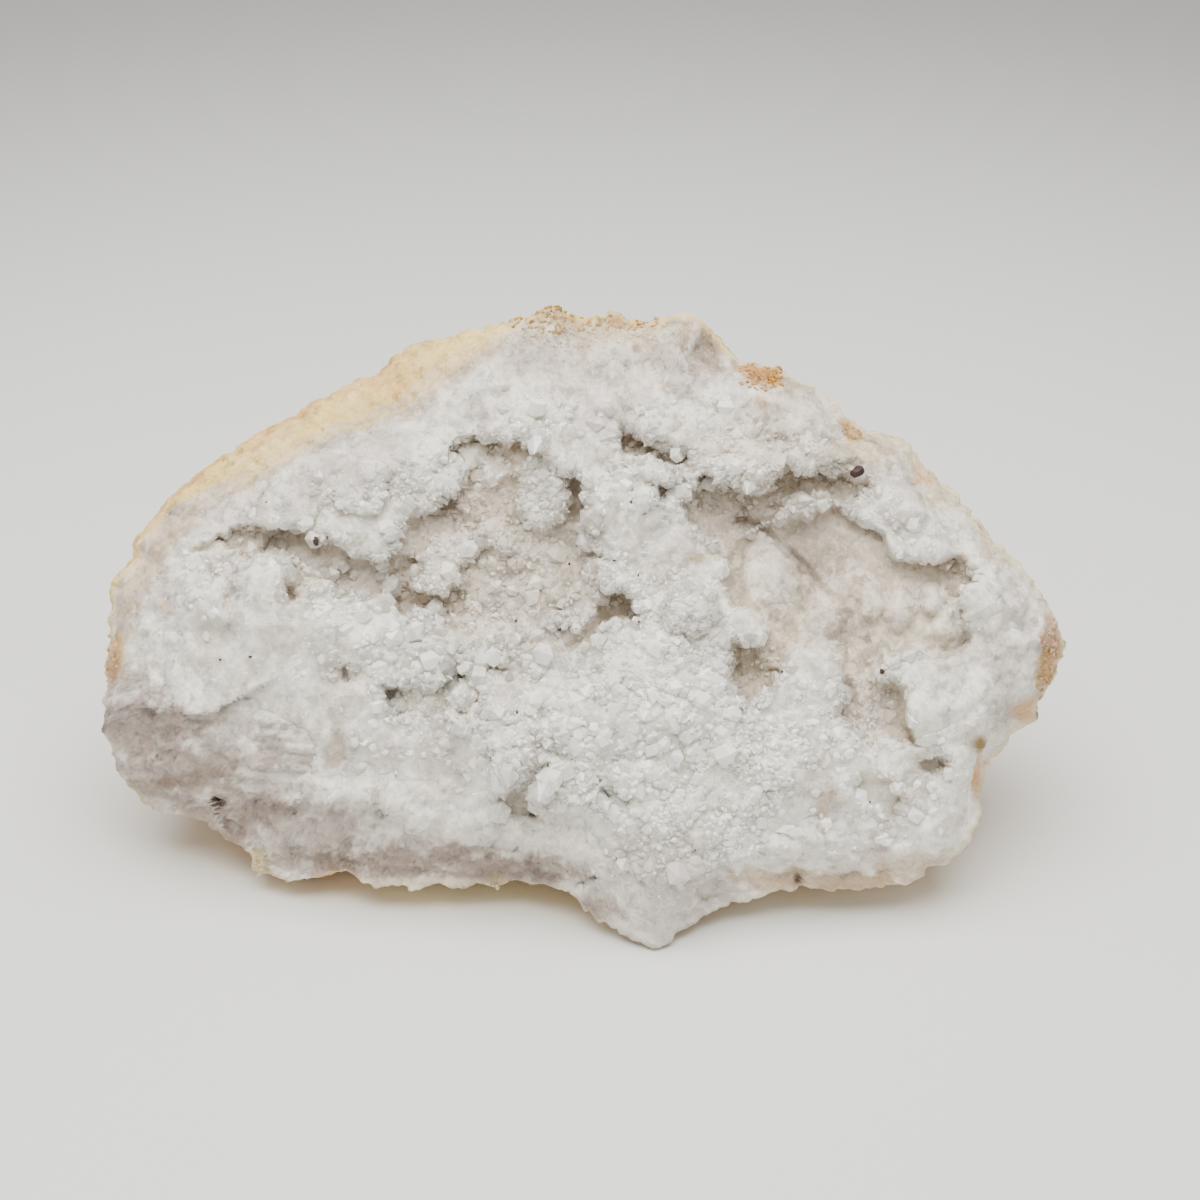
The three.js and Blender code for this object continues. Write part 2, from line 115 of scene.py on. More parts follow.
# hollows and ledges, each laid over those before it:
# depth at the top and at the foot, width of the edge, outline in pixels
steps = [
    # the middle basin
    (-4.5, -3.5, 1.2, [
        (395, 560), (397, 540), (402, 524), (418, 519), (433, 516), (434, 506), (441, 500), (455, 498),
        (459, 488), (464, 478), (458, 466), (456, 452), (462, 443), (480, 437), (500, 440), (520, 441),
        (524, 452), (533, 458), (560, 470), (570, 476), (580, 478), (584, 495), (586, 512), (581, 528),
        (590, 545), (601, 553), (590, 563), (585, 575), (598, 583), (608, 586), (622, 592), (634, 600),
        (637, 612), (628, 623), (612, 620), (601, 624), (600, 635), (590, 645), (575, 655), (560, 655),
        (545, 648), (535, 652), (520, 650), (500, 640), (485, 642), (478, 648), (470, 640), (455, 640),
        (440, 638), (440, 610), (420, 608), (402, 613), (390, 607), (385, 596), (392, 586), (388, 572)]),
    # its dark arm under the upper left ledge, and the pocket above that
    (-5.4, -4.8, 0.9, [
        (402, 524), (418, 520), (433, 516), (433, 506), (441, 500), (455, 498), (459, 488), (464, 478),
        (470, 474), (476, 480), (483, 474), (488, 481), (502, 481), (517, 478), (520, 490), (516, 500),
        (508, 500), (508, 510), (515, 522), (502, 523), (492, 515), (480, 516), (478, 524), (465, 526),
        (455, 530), (446, 522), (425, 522)]),
    (-4.8, -4.3, 0.9, [
        (456, 455), (462, 443), (480, 437), (500, 440), (520, 441), (524, 452), (530, 460), (524, 475),
        (516, 479), (500, 480), (488, 480), (482, 470), (478, 462), (470, 474), (464, 470)]),
    # ledges that hang in the basin, and pockets beside them
    (-3.5, -3.2, 0.7, [
        (478, 463), (484, 457), (500, 457), (508, 465), (505, 476), (497, 480), (487, 480), (481, 472)]),
    (-1.8, -1.4, 0.7, [
        (522, 478), (528, 463), (540, 457), (556, 462), (566, 478), (563, 495), (561, 508), (563, 519),
        (556, 527), (545, 532), (533, 528), (528, 520), (518, 521), (515, 510), (520, 498)]),
    (-5.7, -5.1, 0.8, [
        (567, 484), (574, 476), (581, 482), (584, 497), (586, 512), (578, 520), (565, 522), (561, 510),
        (565, 498)]),
    (-2.2, -1.4, 0.7, [
        (430, 540), (445, 533), (465, 531), (478, 537), (481, 550), (471, 562), (462, 570), (466, 582),
        (458, 590), (447, 597), (430, 596), (415, 592), (409, 583), (406, 574), (414, 560)]),
    (-3.4, -3, 0.8, [(487, 535), (500, 529), (514, 534), (519, 546), (508, 556), (494, 552)]),
    (-5.2, -5, 0.8, [
        (398, 560), (412, 556), (415, 566), (408, 575), (409, 585), (416, 593), (430, 597), (447, 598),
        (459, 592), (470, 598), (466, 610), (452, 612), (440, 607), (420, 607), (403, 613), (392, 607),
        (386, 596), (393, 587), (395, 575), (389, 567)]),
    (-1.8, -1.2, 0.7, [
        (585, 560), (600, 565), (601, 578), (608, 588), (600, 600), (598, 612), (590, 624), (578, 630),
        (560, 627), (546, 622), (550, 614), (563, 612), (566, 600), (572, 588), (580, 575)]),
    (-4.8, -4.5, 0.8, [
        (603, 600), (609, 588), (616, 598), (626, 594), (637, 610), (629, 623), (613, 619), (601, 624),
        (598, 613)]),
    # the left-hand hollow, its tail and its lower end
    (-2.5, -2, 1.5, [(188, 551), (207, 545), (225, 553), (215, 558), (200, 557)]),
    (-4.8, -4, 0.9, [
        (207, 546), (214, 538), (222, 541), (232, 530), (243, 531), (255, 521), (268, 524), (278, 521),
        (292, 524), (299, 530), (301, 538), (308, 541), (320, 534), (332, 541), (345, 549), (352, 557),
        (340, 565), (332, 574), (318, 572), (300, 566), (290, 556), (275, 552), (262, 556), (245, 557),
        (225, 554)]),
    (-4.3, -3.5, 1.2, [
        (285, 556), (300, 566), (318, 572), (335, 574), (352, 557), (368, 560), (385, 568), (390, 585),
        (378, 598), (352, 595), (335, 583), (322, 590), (308, 598), (297, 602), (289, 603), (288, 590),
        (283, 578), (292, 570)]),
    (-4.6, -4.6, 0.7, [(287, 586), (293, 588), (299, 594), (294, 602), (289, 601)]),
    # dark slots at the top
    (-3.8, -3.5, 0.8, [
        (612, 428), (620, 426), (631, 434), (643, 437), (652, 438), (656, 431), (660, 438), (657, 444),
        (663, 450), (675, 449), (684, 442), (688, 450), (688, 459), (680, 462), (668, 459), (656, 457),
        (645, 453), (634, 456), (622, 456), (621, 445), (617, 438)]),
    (-3.8, -3.6, 0.7, [(698, 483), (704, 474), (710, 482), (713, 490), (700, 490)]),
    (-4, -3.5, 0.8, [(632, 490), (645, 495), (660, 483), (673, 490), (662, 502), (640, 511), (634, 500)]),
    # the right-hand hollow: a rough dark corner, the smooth hollow, its pocket and a lump
    (-5.1, -4.5, 0.9, [
        (688, 492), (700, 489), (716, 488), (730, 491), (745, 494), (757, 496), (770, 489), (777, 478),
        (785, 467), (797, 468), (803, 478), (820, 477), (840, 479), (860, 480), (872, 489), (860, 500),
        (842, 500), (824, 498), (816, 503), (805, 494), (795, 497), (786, 506), (774, 514), (768, 524),
        (752, 530), (745, 545), (735, 556), (722, 557), (712, 541), (700, 536), (690, 520), (687, 505)]),
    (-5.1, -4, 1.4, [
        (722, 559), (735, 552), (746, 535), (765, 528), (790, 521), (812, 518), (824, 504), (842, 504),
        (850, 520), (864, 522), (882, 531), (886, 546), (902, 560), (930, 556), (962, 556), (974, 578),
        (962, 600), (964, 630), (962, 652), (938, 658), (920, 650), (900, 656), (882, 652), (880, 680),
        (896, 686), (905, 700), (905, 716), (918, 746), (900, 744), (886, 738), (868, 736), (848, 728),
        (843, 712), (853, 698), (843, 680), (846, 660), (838, 648), (800, 652), (786, 657), (777, 672),
        (766, 688), (748, 699), (733, 692), (727, 676), (735, 660), (731, 645), (755, 642), (766, 634),
        (753, 616), (736, 609), (727, 600), (722, 585), (729, 572)]),
    (-5.4, -5.1, 2, [
        (726, 560), (738, 552), (748, 545), (750, 560), (742, 580), (745, 600), (738, 606), (728, 598),
        (724, 585), (731, 572)]),
    (-5.4, -4.5, 0.9, [
        (729, 664), (745, 670), (762, 671), (778, 674), (768, 687), (748, 699), (733, 691), (727, 677)]),
    (-3.2, -2.8, 1.5, [
        (803, 606), (815, 592), (831, 597), (839, 612), (839, 640), (826, 652), (803, 651), (799, 630)]),
    (-2.2, -1.8, 0.8, [
        (771, 521), (776, 511), (788, 500), (799, 490), (808, 498), (820, 497), (819, 512), (806, 520),
        (790, 522)]),
    # pits lower down
    (-2.6, -1.8, 1.3, [
        (857, 783), (863, 776), (878, 779), (892, 786), (899, 796), (903, 801), (897, 812), (889, 822),
        (877, 812), (866, 807), (857, 801)]),
    (-2.4, -2, 1, [(922, 763), (935, 757), (951, 755), (951, 767), (938, 776), (925, 773)]),
    (-3.2, -3.2, 0.8, [(385, 689), (391, 685), (400, 688), (401, 702), (396, 714), (389, 708)]),
    (-2.4, -1.8, 1, [
        (400, 690), (413, 683), (430, 686), (446, 681), (470, 680), (482, 692), (482, 708), (470, 718),
        (455, 712), (432, 716), (405, 716)]),
    (-3, -3, 0.8, [(447, 679), (455, 667), (463, 666), (471, 679)]),
    (-2.6, -2, 1.2, [
        (478, 650), (486, 642), (500, 640), (520, 650), (535, 652), (530, 668), (515, 676), (500, 672),
        (485, 670)]),
    (-2.6, -2, 0.8, [
        (322, 772), (320, 752), (328, 744), (331, 734), (337, 732), (344, 745), (346, 760), (336, 766)]),
    (-2, -2, 0.6, [(335, 666), (345, 662), (348, 680), (343, 682), (342, 671)]),
    (-3, -2, 0.8, [(500, 797), (515, 784), (531, 790), (535, 805), (546, 808), (538, 819), (520, 816)]),
    (-2.5, -2, 0.8, [(593, 786), (600, 781), (612, 800), (604, 803)]),
    (-0.9, -0.7, 3, [(190, 630), (205, 623), (224, 622), (229, 640), (226, 656), (208, 656)]),
    (-1.2, -1.2, 1.5, [(226, 575), (235, 573), (233, 600), (226, 612)]),
]

# rounded lumps and single large crystals grown over: x, y, half width, half height in pixels, foot, rise
lumps = [
    (772, 592, 30, 70, -6, 3.4), (535, 436, 13, 21, 0.5, 2.6), (497, 652, 13, 14, -2.6, 2.4),
    (541, 662, 14, 14, -2.6, 2.6), (503, 542, 12, 12, -4, 2.2), (375, 562, 7, 8, -5, 2.4),
    (466, 698, 18, 17, -2, 2), (345, 700, 20, 20, 0.6, 1), (660, 472, 24, 15, 0, 2.6),
    (745, 468, 34, 25, 0, 2.8), (820, 458, 38, 14, 0, 2.4), (804, 458, 18, 18, 1.4, 1.6),
    (620, 466, 10, 10, -1, 2), (510, 745, 26, 22, 1.4, 1.6), (512, 768, 13, 16, 2, 2),
    (545, 795, 13, 22, 2.6, 2.2), (900, 610, 14, 22, -4.8, 2.2), (930, 600, 14, 20, -4.8, 2.4),
    (872, 602, 16, 24, -5, 2), (950, 622, 18, 24, -4.6, 1.8), (655, 425, 26, 14, 0, 2),
    (600, 500, 22, 30, 1.6, 1.6), (470, 460, 12, 10, -5, 2), (360, 490, 30, 26, 2.4, 1.2),
    (640, 500, 16, 12, 0.8, 1.6), (560, 735, 18, 18, 2.4, 1.6), (690, 610, 30, 24, 3.4, 1.2),
    (640, 780, 30, 22, 3, 1.4),
]

# creases and ridges: height, width in mm, line
creases = [
    (-1.8, 0.7, [(738, 520), (755, 525), (772, 535), (785, 548), (800, 563), (815, 580)]),
    (-0.7, 0.5, [(178, 560), (175, 578), (168, 600)]),
    (1.3, 1.1, [(857, 806), (858, 828), (866, 845), (880, 860)]),
    (1.3, 1.0, [(868, 808), (874, 824), (884, 840), (897, 852)]),
    (1.0, 0.8, [(882, 814), (888, 826), (891, 838)]),
    (-1.4, 0.8, [(538, 680), (540, 705), (548, 735), (560, 757), (548, 765), (540, 778)]),
    (-1.0, 0.7, [(400, 655), (412, 640), (428, 634), (440, 626)]),
    (0.9, 1.0, [(840, 655), (860, 690), (862, 715)]),
]

# the lower wall, broken further back under the edge of the white quartz: offset, width of the edge, outline
wallSteps = [
    (-2.6, 0.7, [
        (212, 790), (235, 797), (250, 807), (268, 810), (300, 806), (345, 803), (400, 822), (460, 840),
        (540, 862), (600, 880), (560, 900), (400, 900), (280, 900), (225, 830)]),
    (-1.6, 0.9, [
        (690, 884), (720, 868), (770, 852), (800, 846), (860, 862), (930, 860), (965, 840), (990, 860),
        (930, 895), (780, 900), (700, 900)]),
]


def srgb(r, g, b):
    c = np.array([r, g, b]) / 255
    return np.where(c < 0.04045, c / 12.92, ((c + 0.055) / 1.055) ** 2.4)


def mixed(a, b, share):
    return a + (b - a) * share


def softened(share):
    kept = np.clip(share, 0, 1)
    return kept * kept * (3 - 2 * kept)


def fromPixels(spots):
    # from the picture's pixels to mm on the face
    at = np.array(spots, float)
    return np.stack([at[:, 0] - facePixel[0], facePixel[1] - at[:, 1]], axis=1) / pixelsPerMm


def seenAt(x, y, z):
    # a point measured on the face plane, moved along the line of sight to its own depth
    grow = 1 - z / sightDistance
    return np.stack([mixed(sightPoint[0], x, grow), mixed(sightPoint[1], y, grow), z], axis=-1)


def onFacePlane(points):
    # the other way: where on the face plane a point is seen
    grow = 1 - points[:, 2] / sightDistance
    return (
        sightPoint[0] + (points[:, 0] - sightPoint[0]) / grow,
        sightPoint[1] + (points[:, 1] - sightPoint[1]) / grow,
    )


def toWorld(points):
    placed = faceOrigin + points[:, :1] * faceRight + points[:, 1:2] * faceUp + points[:, 2:3] * faceOut
    return placed / 1000


def toFace(points):
    return turnedToFace(points * 1000 - faceOrigin)


def turnedToFace(vectors):
    return np.stack([vectors @ faceRight, vectors @ faceUp, vectors @ faceOut], axis=1)


# smooth random fields on arrays of points
shuffled = rng.permutation(256)
tableValues = rng.random(256) * 2 - 1


def cellValue(ix, iy, iz, seed):
    a = shuffled[(ix + seed * 37) & 255]
    b = shuffled[(a + iy) & 255]
    return shuffled[(b + iz) & 255]


def smooth(points, size, seed=0):
    # value noise from -1 to 1, with lumps of the given size
    p = points / size
    whole = np.floor(p).astype(int)
    f = p - whole
    f = f * f * (3 - 2 * f)
    total = 0
    for corner in itertools.product((0, 1), repeat=3):
        value = tableValues[cellValue(*(whole + corner).T, seed)]
        share = np.abs(1 - np.array(corner) - f)
        total = total + value * (share[:, 0] * share[:, 1] * share[:, 2])
    return total


def layered(points, size, layers, seed=0, fade=0.5):
    total = 0
    for k in range(layers):
        total = total + smooth(points, size / 2**k, seed + k) * fade**k
    return total


def nearestCell(points, size, seed):
    # squared distance to the nearest of scattered spots, and the way to it
    p = points / size
    whole = np.floor(p).astype(int)
    nearest = np.full(len(points), 9.0)
    way = np.zeros((len(points), 3))
    value = np.zeros(len(points), int)
    for near in itertools.product((-1, 0, 1), repeat=3):
        cell = (whole + near).T
        spot = np.stack([c + cellValue(*cell, seed + k) / 256 for k, c in enumerate(cell)], axis=1)
        away = ((spot - p) ** 2).sum(axis=1)
        closer = away < nearest
        nearest = np.where(closer, away, nearest)
        way[closer] = (p - spot)[closer]
        value[closer] = cellValue(*cell, seed + 7)[closer]
    return nearest, way, value


def pebbled(points, size, seed=0):
    # 1 at the middle of random rounded grains, 0 in the clefts between them
    nearest, _, _ = nearestCell(points, size, seed)
    return 1 - np.minimum(nearest, 1)


def faceted(points, size, seed=0):
    # flat broken crystal faces, each tilted its own way, about -1 to 1
    _, way, value = nearestCell(points, size, seed)
    turn = value / 256 * 2 * np.pi
    tilt = 0.5 + tableValues[value] * 0.5
    slope = way[:, 0] * np.cos(turn) + way[:, 1] * np.sin(turn)
    return slope * tilt * 1.6 + tableValues[shuffled[value]] * 0.5


# the face's large shape
def reachIn(x, y, ellipse):
    # 0 at the middle of an ellipse, 1 at its edge; from its middle and half sizes
    cx, cy, halfWidth, halfHeight = ellipse
    return ((x - cx) / halfWidth) ** 2 + ((y - cy) / halfHeight) ** 2


def toSegment(x, y, a, b):
    # distance to a straight stretch, and how far along it the nearest place is
    run = b[:2] - a[:2]
    share = np.clip(((x - a[0]) * run[0] + (y - a[1]) * run[1]) / (run @ run), 0, 1)
    return np.hypot(x - a[0] - share * run[0], y - a[1] - share * run[1]), share


def distanceToLine(x, y, line):
    return np.min([toSegment(x, y, a, b)[0] for a, b in zip(line[:-1], line[1:])], axis=0)


def insideOutline(x, y, outline):
    # distance to a closed outline, positive inside it
    closed = np.vstack([outline, outline[:1]])
    inside = np.zeros(len(x), bool)
    for a, b in zip(closed[:-1], closed[1:]):
        if a[1] != b[1]:
            crosses = (a[1] > y) != (b[1] > y)
            inside ^= crosses & (x < a[0] + (y - a[1]) / (b[1] - a[1]) * (b[0] - a[0]))
    distance = distanceToLine(x, y, closed)
    return np.where(inside, distance, -distance)


def nearestRim(x, y):
    # distance in from the rim, how far back the rim is set there, and the width of the wall
    best = np.full(len(x), 1e9)
    setBack = np.zeros(len(x))
    wall = np.zeros(len(x))
    for a, b in zip(rim, np.roll(rim, -1, axis=0)):
        distance, share = toSegment(x, y, a, b)
        closer = distance < best
        best = np.where(closer, distance, best)
        setBack = np.where(closer, mixed(a[2], b[2], share), setBack)
        wall = np.where(closer, mixed(a[4], b[4], share), wall)
    inside = insideOutline(x, y, rim[:, :2]) > 0
    return np.where(inside, best, 0), setBack, wall


def closeTo(x, y, spots, room):
    # the points inside the box of an outline, with room round it
    low, high = spots.min(axis=0) - room, spots.max(axis=0) + room
    return (x > low[0]) & (x < high[0]) & (y > low[1]) & (y < high[1])


def onFlat(x, y):
    return np.stack([x, y, np.zeros(len(x))], axis=1)


faceShape = {
    "wander": 0.85,  # mm that the edges of the hollows and ledges wander
    "wanderSize": 4,
    "uneven": 0.9,
    "unevenSize": 12,
}


def rockFront(x, y, hollowed=True):
    # how far the rock stands out of the face plane
    s = faceShape
    flat = onFlat(x, y)
    wx = x + s["wander"] * layered(flat, s["wanderSize"], 3, 5, 0.6)
    wy = y + s["wander"] * layered(flat, s["wanderSize"], 3, 9, 0.6)
    floor = s["uneven"] * smooth(flat, s["unevenSize"], 3)
    for *ellipse, rise in swellings:
        reach = reachIn(wx, wy, ellipse)
        floor = floor + rise * np.exp(-(reach**1.5))
    for top, foot, width, outline in steps if hollowed else ():
        spots = fromPixels(outline)
        near = closeTo(wx, wy, spots, width + 1)
        inside = insideOutline(wx[near], wy[near], spots)
        low, high = spots[:, 1].min(), spots[:, 1].max()
        level = mixed(foot, top, np.clip((wy[near] - low) / (high - low), 0, 1))
        floor[near] = mixed(floor[near], level, softened(inside / width + 0.5))
    for px, py, halfWidth, halfHeight, foot, rise in lumps if hollowed else ():
        (cx, cy), = fromPixels([(px, py)])
        reach = ((wx - cx) / halfWidth * pixelsPerMm) ** 2 + ((wy - cy) / halfHeight * pixelsPerMm) ** 2
        floor = np.maximum(floor, np.where(reach < 1, foot + rise * np.sqrt(np.maximum(1 - reach, 0)), -99))
    for height, width, line in creases:
        away = distanceToLine(x + 0.2 * (wx - x), y + 0.2 * (wy - y), fromPixels(line))
        floor = floor + height * np.exp(-((away / width) ** 2))
    distance, setBack, wall = nearestRim(x, y)
    share = np.minimum(1, distance / wall)
    front = mixed(-setBack, floor, np.sin(share * np.pi / 2))
    for offset, width, outline in wallSteps:
        inside = insideOutline(x + 0.5 * (wx - x), wy, fromPixels(outline))
        front = front + offset * softened(inside / width + 0.5) * np.clip(distance / 2.5, 0, 1)
    return front


def hollowDepth(x, y):
    return rockFront(x, y, False) - rockFront(x, y)


def druse(x, y):
    # 1 where crystal points crowd, 0 where the quartz is massive
    total = np.zeros(len(x))
    wander = 0.5 * smooth(onFlat(x, y), 6, 29)
    for *ellipse, amount in druses:
        reach = reachIn(x, y, ellipse)
        total = np.maximum(total, amount * softened((1.3 - reach + wander) / 0.7))
    return total


def smoothHollow(x, y):
    # 1 where the right-hand hollow is smooth instead of covered in points
    reach = reachIn(x, y, smoothEllipse)
    return np.clip((1.15 - reach + 0.35 * smooth(onFlat(x, y), 5, 21)) * 3, 0, 1)


def massiveQuartz(x, y):
    # 1 where the left side and the foot are massive sugary quartz without points
    reach = np.min([reachIn(x, y, ellipse) + less for *ellipse, less in massiveEllipses], axis=0)
    return np.clip((1.1 - reach + 0.4 * smooth(onFlat(x, y), 6, 25)) * 3, 0, 1)


# meshes from arrays
def makeMesh(name, points, faceSets):
    mesh = bpy.data.meshes.new(name)
    corners = np.concatenate([f.ravel() for f in faceSets]).astype(np.int32)
    sizes = np.concatenate([np.full(len(f), f.shape[1]) for f in faceSets])
    starts = np.concatenate([[0], np.cumsum(sizes)[:-1]]).astype(np.int32)
    mesh.vertices.add(len(points))
    mesh.vertices.foreach_set("co", np.ascontiguousarray(points, dtype=np.float32).ravel())
    mesh.loops.add(len(corners))
    mesh.loops.foreach_set("vertex_index", corners)
    mesh.polygons.add(len(sizes))
    mesh.polygons.foreach_set("loop_start", starts)
    mesh.update(calc_edges=True)
    mesh.validate()
    return mesh


def vectorsOf(items, name):
    vectors = np.zeros(len(items) * 3, np.float32)
    items.foreach_get(name, vectors)
    return vectors.reshape(-1, 3).astype(float)


def raised(mesh, height):
    # the mesh's points, each moved out along its normal by so many mm
    normals = vectorsOf(mesh.vertex_normals, "vector")
    return vectorsOf(mesh.vertices, "co") + normals * (height / 1000)[:, None]


def setPoints(mesh, points, lowest=0.0):
    # nothing leaves the CAD model's box
    low, high = np.array(cadBox[0]) + 0.0001, np.array(cadBox[1]) - 0.0001
    low[2] = lowest
    mesh.vertices.foreach_set("co", np.clip(points, low, high).astype(np.float32).ravel())
    mesh.update()


def setShading(mesh, rounded):
    mesh.polygons.foreach_set("use_smooth", np.full(len(mesh.polygons), rounded))


def setTint(mesh, colours):
    layer = mesh.color_attributes.new("tint", "FLOAT_COLOR", "POINT")
    full = np.concatenate([colours, np.ones((len(colours), 1))], axis=1)
    layer.data.foreach_set("color", full.astype(np.float32).ravel())


def setValue(mesh, name, values):
    layer = mesh.attributes.new(name, "FLOAT", "POINT")
    layer.data.foreach_set("value", values.astype(np.float32))


def addPiece(name, mesh, material, node):
    piece = bpy.data.objects.new(name, mesh)
    bpy.context.scene.collection.objects.link(piece)
    mesh.materials.append(material)
    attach(piece, "root")
    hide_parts(node)
    return piece


def ballOf(subdivisions):
    shape = bmesh.new()
    bmesh.ops.create_icosphere(shape, subdivisions=subdivisions, radius=1)
    unit = np.array([v.co[:] for v in shape.verts])
    faces = np.array([[v.index for v in f.verts] for f in shape.faces])
    shape.free()
    return unit, faces


# colours of the stone
quartzColours = {
    "milky": srgb(255, 248, 234),
    "crystal": srgb(255, 252, 242),
    "grey": srgb(214, 205, 195),
    # darkens the colour deep in the hollows: partly greyer quartz, partly painted shade
    "recessShade": srgb(224, 214, 203),
    "rind": srgb(252, 219, 142),
    "rindTan": srgb(226, 166, 92),
    "edge": srgb(224, 204, 172),
    "edgeBrown": srgb(196, 164, 122),
    "cream": srgb(242, 226, 196),
    "lilac": srgb(173, 154, 142),
    "brown": srgb(132, 104, 78),
    "ochre": srgb(206, 156, 84),
    "orange": srgb(208, 138, 48),
    "rust": srgb(190, 128, 82),
    "olive": srgb(140, 112, 20),
    "creamYellow": srgb(232, 208, 150),
    "umber": srgb(92, 70, 56),
}

# soft marks on the face in mm: x, y, half width, half height, colour, strength
marks = [
    (-6, 53, 14, 3, "cream", 0.9), (4, 52.4, 13, 2.4, "edge", 0.8), (12, 51.6, 7, 3, "creamYellow", 0.6),
    (18.6, 52.4, 5, 2.6, "edgeBrown", 0.7), (22.6, 49.6, 2, 3.6, "edgeBrown", 0.8),
    (27, 46, 3, 2, "edgeBrown", 0.7), (62, 24, 7, 2.6, "edge", 0.8), (70, 14.6, 5, 2.6, "edge", 0.7),
    (30, 36, 6, 5, "grey", 0.7), (44, 31, 6, 3, "grey", 0.6), (35, 43, 4, 1.8, "edge", 0.9),
    (50, 32.5, 8, 2.4, "edge", 0.9), (47, 35, 5, 1.6, "edgeBrown", 0.6), (-78, -3, 2.6, 5, "ochre", 0.8),
    (-77.5, -5.5, 2, 3, "rust", 0.5), (-79, -12, 1.6, 1.2, "umber", 0.9),
    (-72, -15, 10, 6, "lilac", 0.95), (-65, -21, 16, 4, "lilac", 0.85),
    (-69, -23.5, 7, 1, "brown", 0.75), (-62, -22, 5, 1, "brown", 0.6), (-72, -25, 4, 1.2, "brown", 0.7),
    (-58, -29, 11, 4, "lilac", 0.95), (-55, -30, 3, 2, "brown", 0.5), (-46, -31, 12, 5, "lilac", 0.7),
    (-59, -33, 3, 2, "brown", 0.5), (-54, -37.5, 2.6, 3, "creamYellow", 0.95),
    (-49, -37.5, 2, 1.4, "brown", 0.5), (-30, -37.6, 22, 3.6, "lilac", 1),
    (-12, -38.6, 12, 3, "lilac", 1), (-40, -37, 4, 1.6, "brown", 0.4),
    (-30, -40.4, 22, 0.8, "cream", 0.7), (-40.5, -39, 1.2, 1.2, "umber", 0.8),
    (-14, -40.2, 1.2, 1.4, "creamYellow", 0.9), (2.4, -44.6, 6, 2.6, "lilac", 1),
    (22, -42, 6, 3, "lilac", 0.7), (14, -40, 12, 9, "grey", 0.6), (41, -40.2, 16, 2.4, "edgeBrown", 0.8),
    (56, -38, 8, 3, "edgeBrown", 0.5), (36.4, -40, 0.9, 0.9, "umber", 1),
    (40.5, -28, 1, 2.8, "rust", 0.45), (42, -26, 0.8, 1.4, "ochre", 0.5),
    (66.2, -23, 1, 5, "rindTan", 0.9), (66.3, -17.4, 1.3, 1.9, "olive", 1),
    (68.2, -21, 0.9, 1.2, "rust", 0.9), (72, -13, 6, 3.6, "lilac", 0.45),
    (79, -1.5, 2.6, 6, "rust", 0.9), (77.5, -7, 2.2, 6, "ochre", 0.8), (74.5, -13, 2, 4, "rindTan", 0.7),
    (45.5, 35.5, 2.6, 3, "ochre", 0.85), (57.5, 28.6, 2, 2.4, "rindTan", 0.7),
    (52, 31, 8, 3, "edge", 0.6), (61, 12, 2, 2.2, "brown", 0.4), (20, 13.6, 3, 1, "creamYellow", 0.5),
    (48, 3.2, 1.4, 1, "brown", 0.4), (-70, 6, 1, 1, "ochre", 0.5), (-1, 54.3, 10, 1.8, "ochre", 0.8),
    (11, 53.6, 3, 1.4, "rust", 0.7), (8, 53, 4, 1.5, "ochre", 0.8), (9.2, 48.4, 1, 1, "brown", 0.7),
    (21.5, 48, 2, 4.4, "brown", 0.75), (30, 44.4, 3.6, 2.6, "orange", 0.9),
    (32.5, 43.2, 1, 1.2, "orange", 1), (30, 39.4, 1, 1, "ochre", 0.7),
    (29, 38.6, 2.6, 1.4, "brown", 0.35), (0, 48, 16, 4, "lilac", 0.35), (18, 46, 7, 5, "lilac", 0.5),
    (36, 34, 16, 9, "edge", 0.3), (2, 47, 22, 6, "edge", 0.25), (17.4, 32.2, 1.6, 2, "umber", 0.35),
    (20.8, 26.4, 1.4, 1.6, "umber", 0.9), (24, 21, 5, 4, "brown", 0.3),
    (-21, 21.6, 6, 2.6, "brown", 0.35), (-47, 16.5, 9, 2.6, "brown", 0.28),
    (-42, 13, 4, 3, "brown", 0.2), (-31, -10, 1.6, 3, "umber", 0.4), (-21, -5.6, 2.2, 1.4, "umber", 0.4),
    (-48.3, 7.8, 1, 1.4, "umber", 0.5), (-29, 10, 3, 5, "brown", 0.25), (0, 22, 2, 2.6, "brown", 0.25),
    (-33, 43, 12, 2, "edge", 0.5), (38, 13, 6, 6, "grey", 0.5),
]


def faceColours(x, y, z, base):
    flat = np.stack([x, y, z], axis=1)
    # greyer, clearer quartz in patches between the milky parts
    patches = softened(0.38 + 1.1 * layered(flat, 8, 5, 27, 0.75))
    # where crystal points crowd the grey patches are fewer: painted light that lifts the shade among the
    # crystals
    patches = patches * (0.75 - 0.4 * druse(x, y))
    colours = mixed(base, quartzColours["grey"], patches[:, None])
    ragged = 0.75 * layered(flat, 2.4, 4, 31, 0.75)
    for *ellipse, name, strength in marks:
        wander = ragged * np.clip(min(ellipse[2:]) / 3, 0.25, 1)
        share = strength * np.clip((1.25 - reachIn(x, y, ellipse) + wander) / 0.9, 0, 1)
        colours = mixed(colours, quartzColours[name][None], share[:, None])
    # deep in the hollows the colour is darkened: partly greyer clear quartz, partly painted shade in the
    # recesses
    paintedShadeShare = np.clip(hollowDepth(x, y) / 4.5 - 0.2, 0, 1)[:, None]
    return mixed(colours, quartzColours["recessShade"][None] * colours, paintedShadeShare)


# materials
def newMaterial(name):
    material = bpy.data.materials.new(name)
    material.use_nodes = True
    tree = material.node_tree
    tree.nodes.clear()
    out = tree.nodes.new("ShaderNodeOutputMaterial")
    shader = tree.nodes.new("ShaderNodeBsdfPrincipled")
    tree.links.new(shader.outputs["BSDF"], out.inputs["Surface"])
    return material, tree, shader, out


def setInputs(node, sockets):
    for name, value in sockets.items():
        node.inputs[name].default_value = value


def addNode(tree, kind, sockets, **settings):
    node = tree.nodes.new(kind)
    for name, value in settings.items():
        setattr(node, name, value)
    setInputs(node, sockets)
    return node


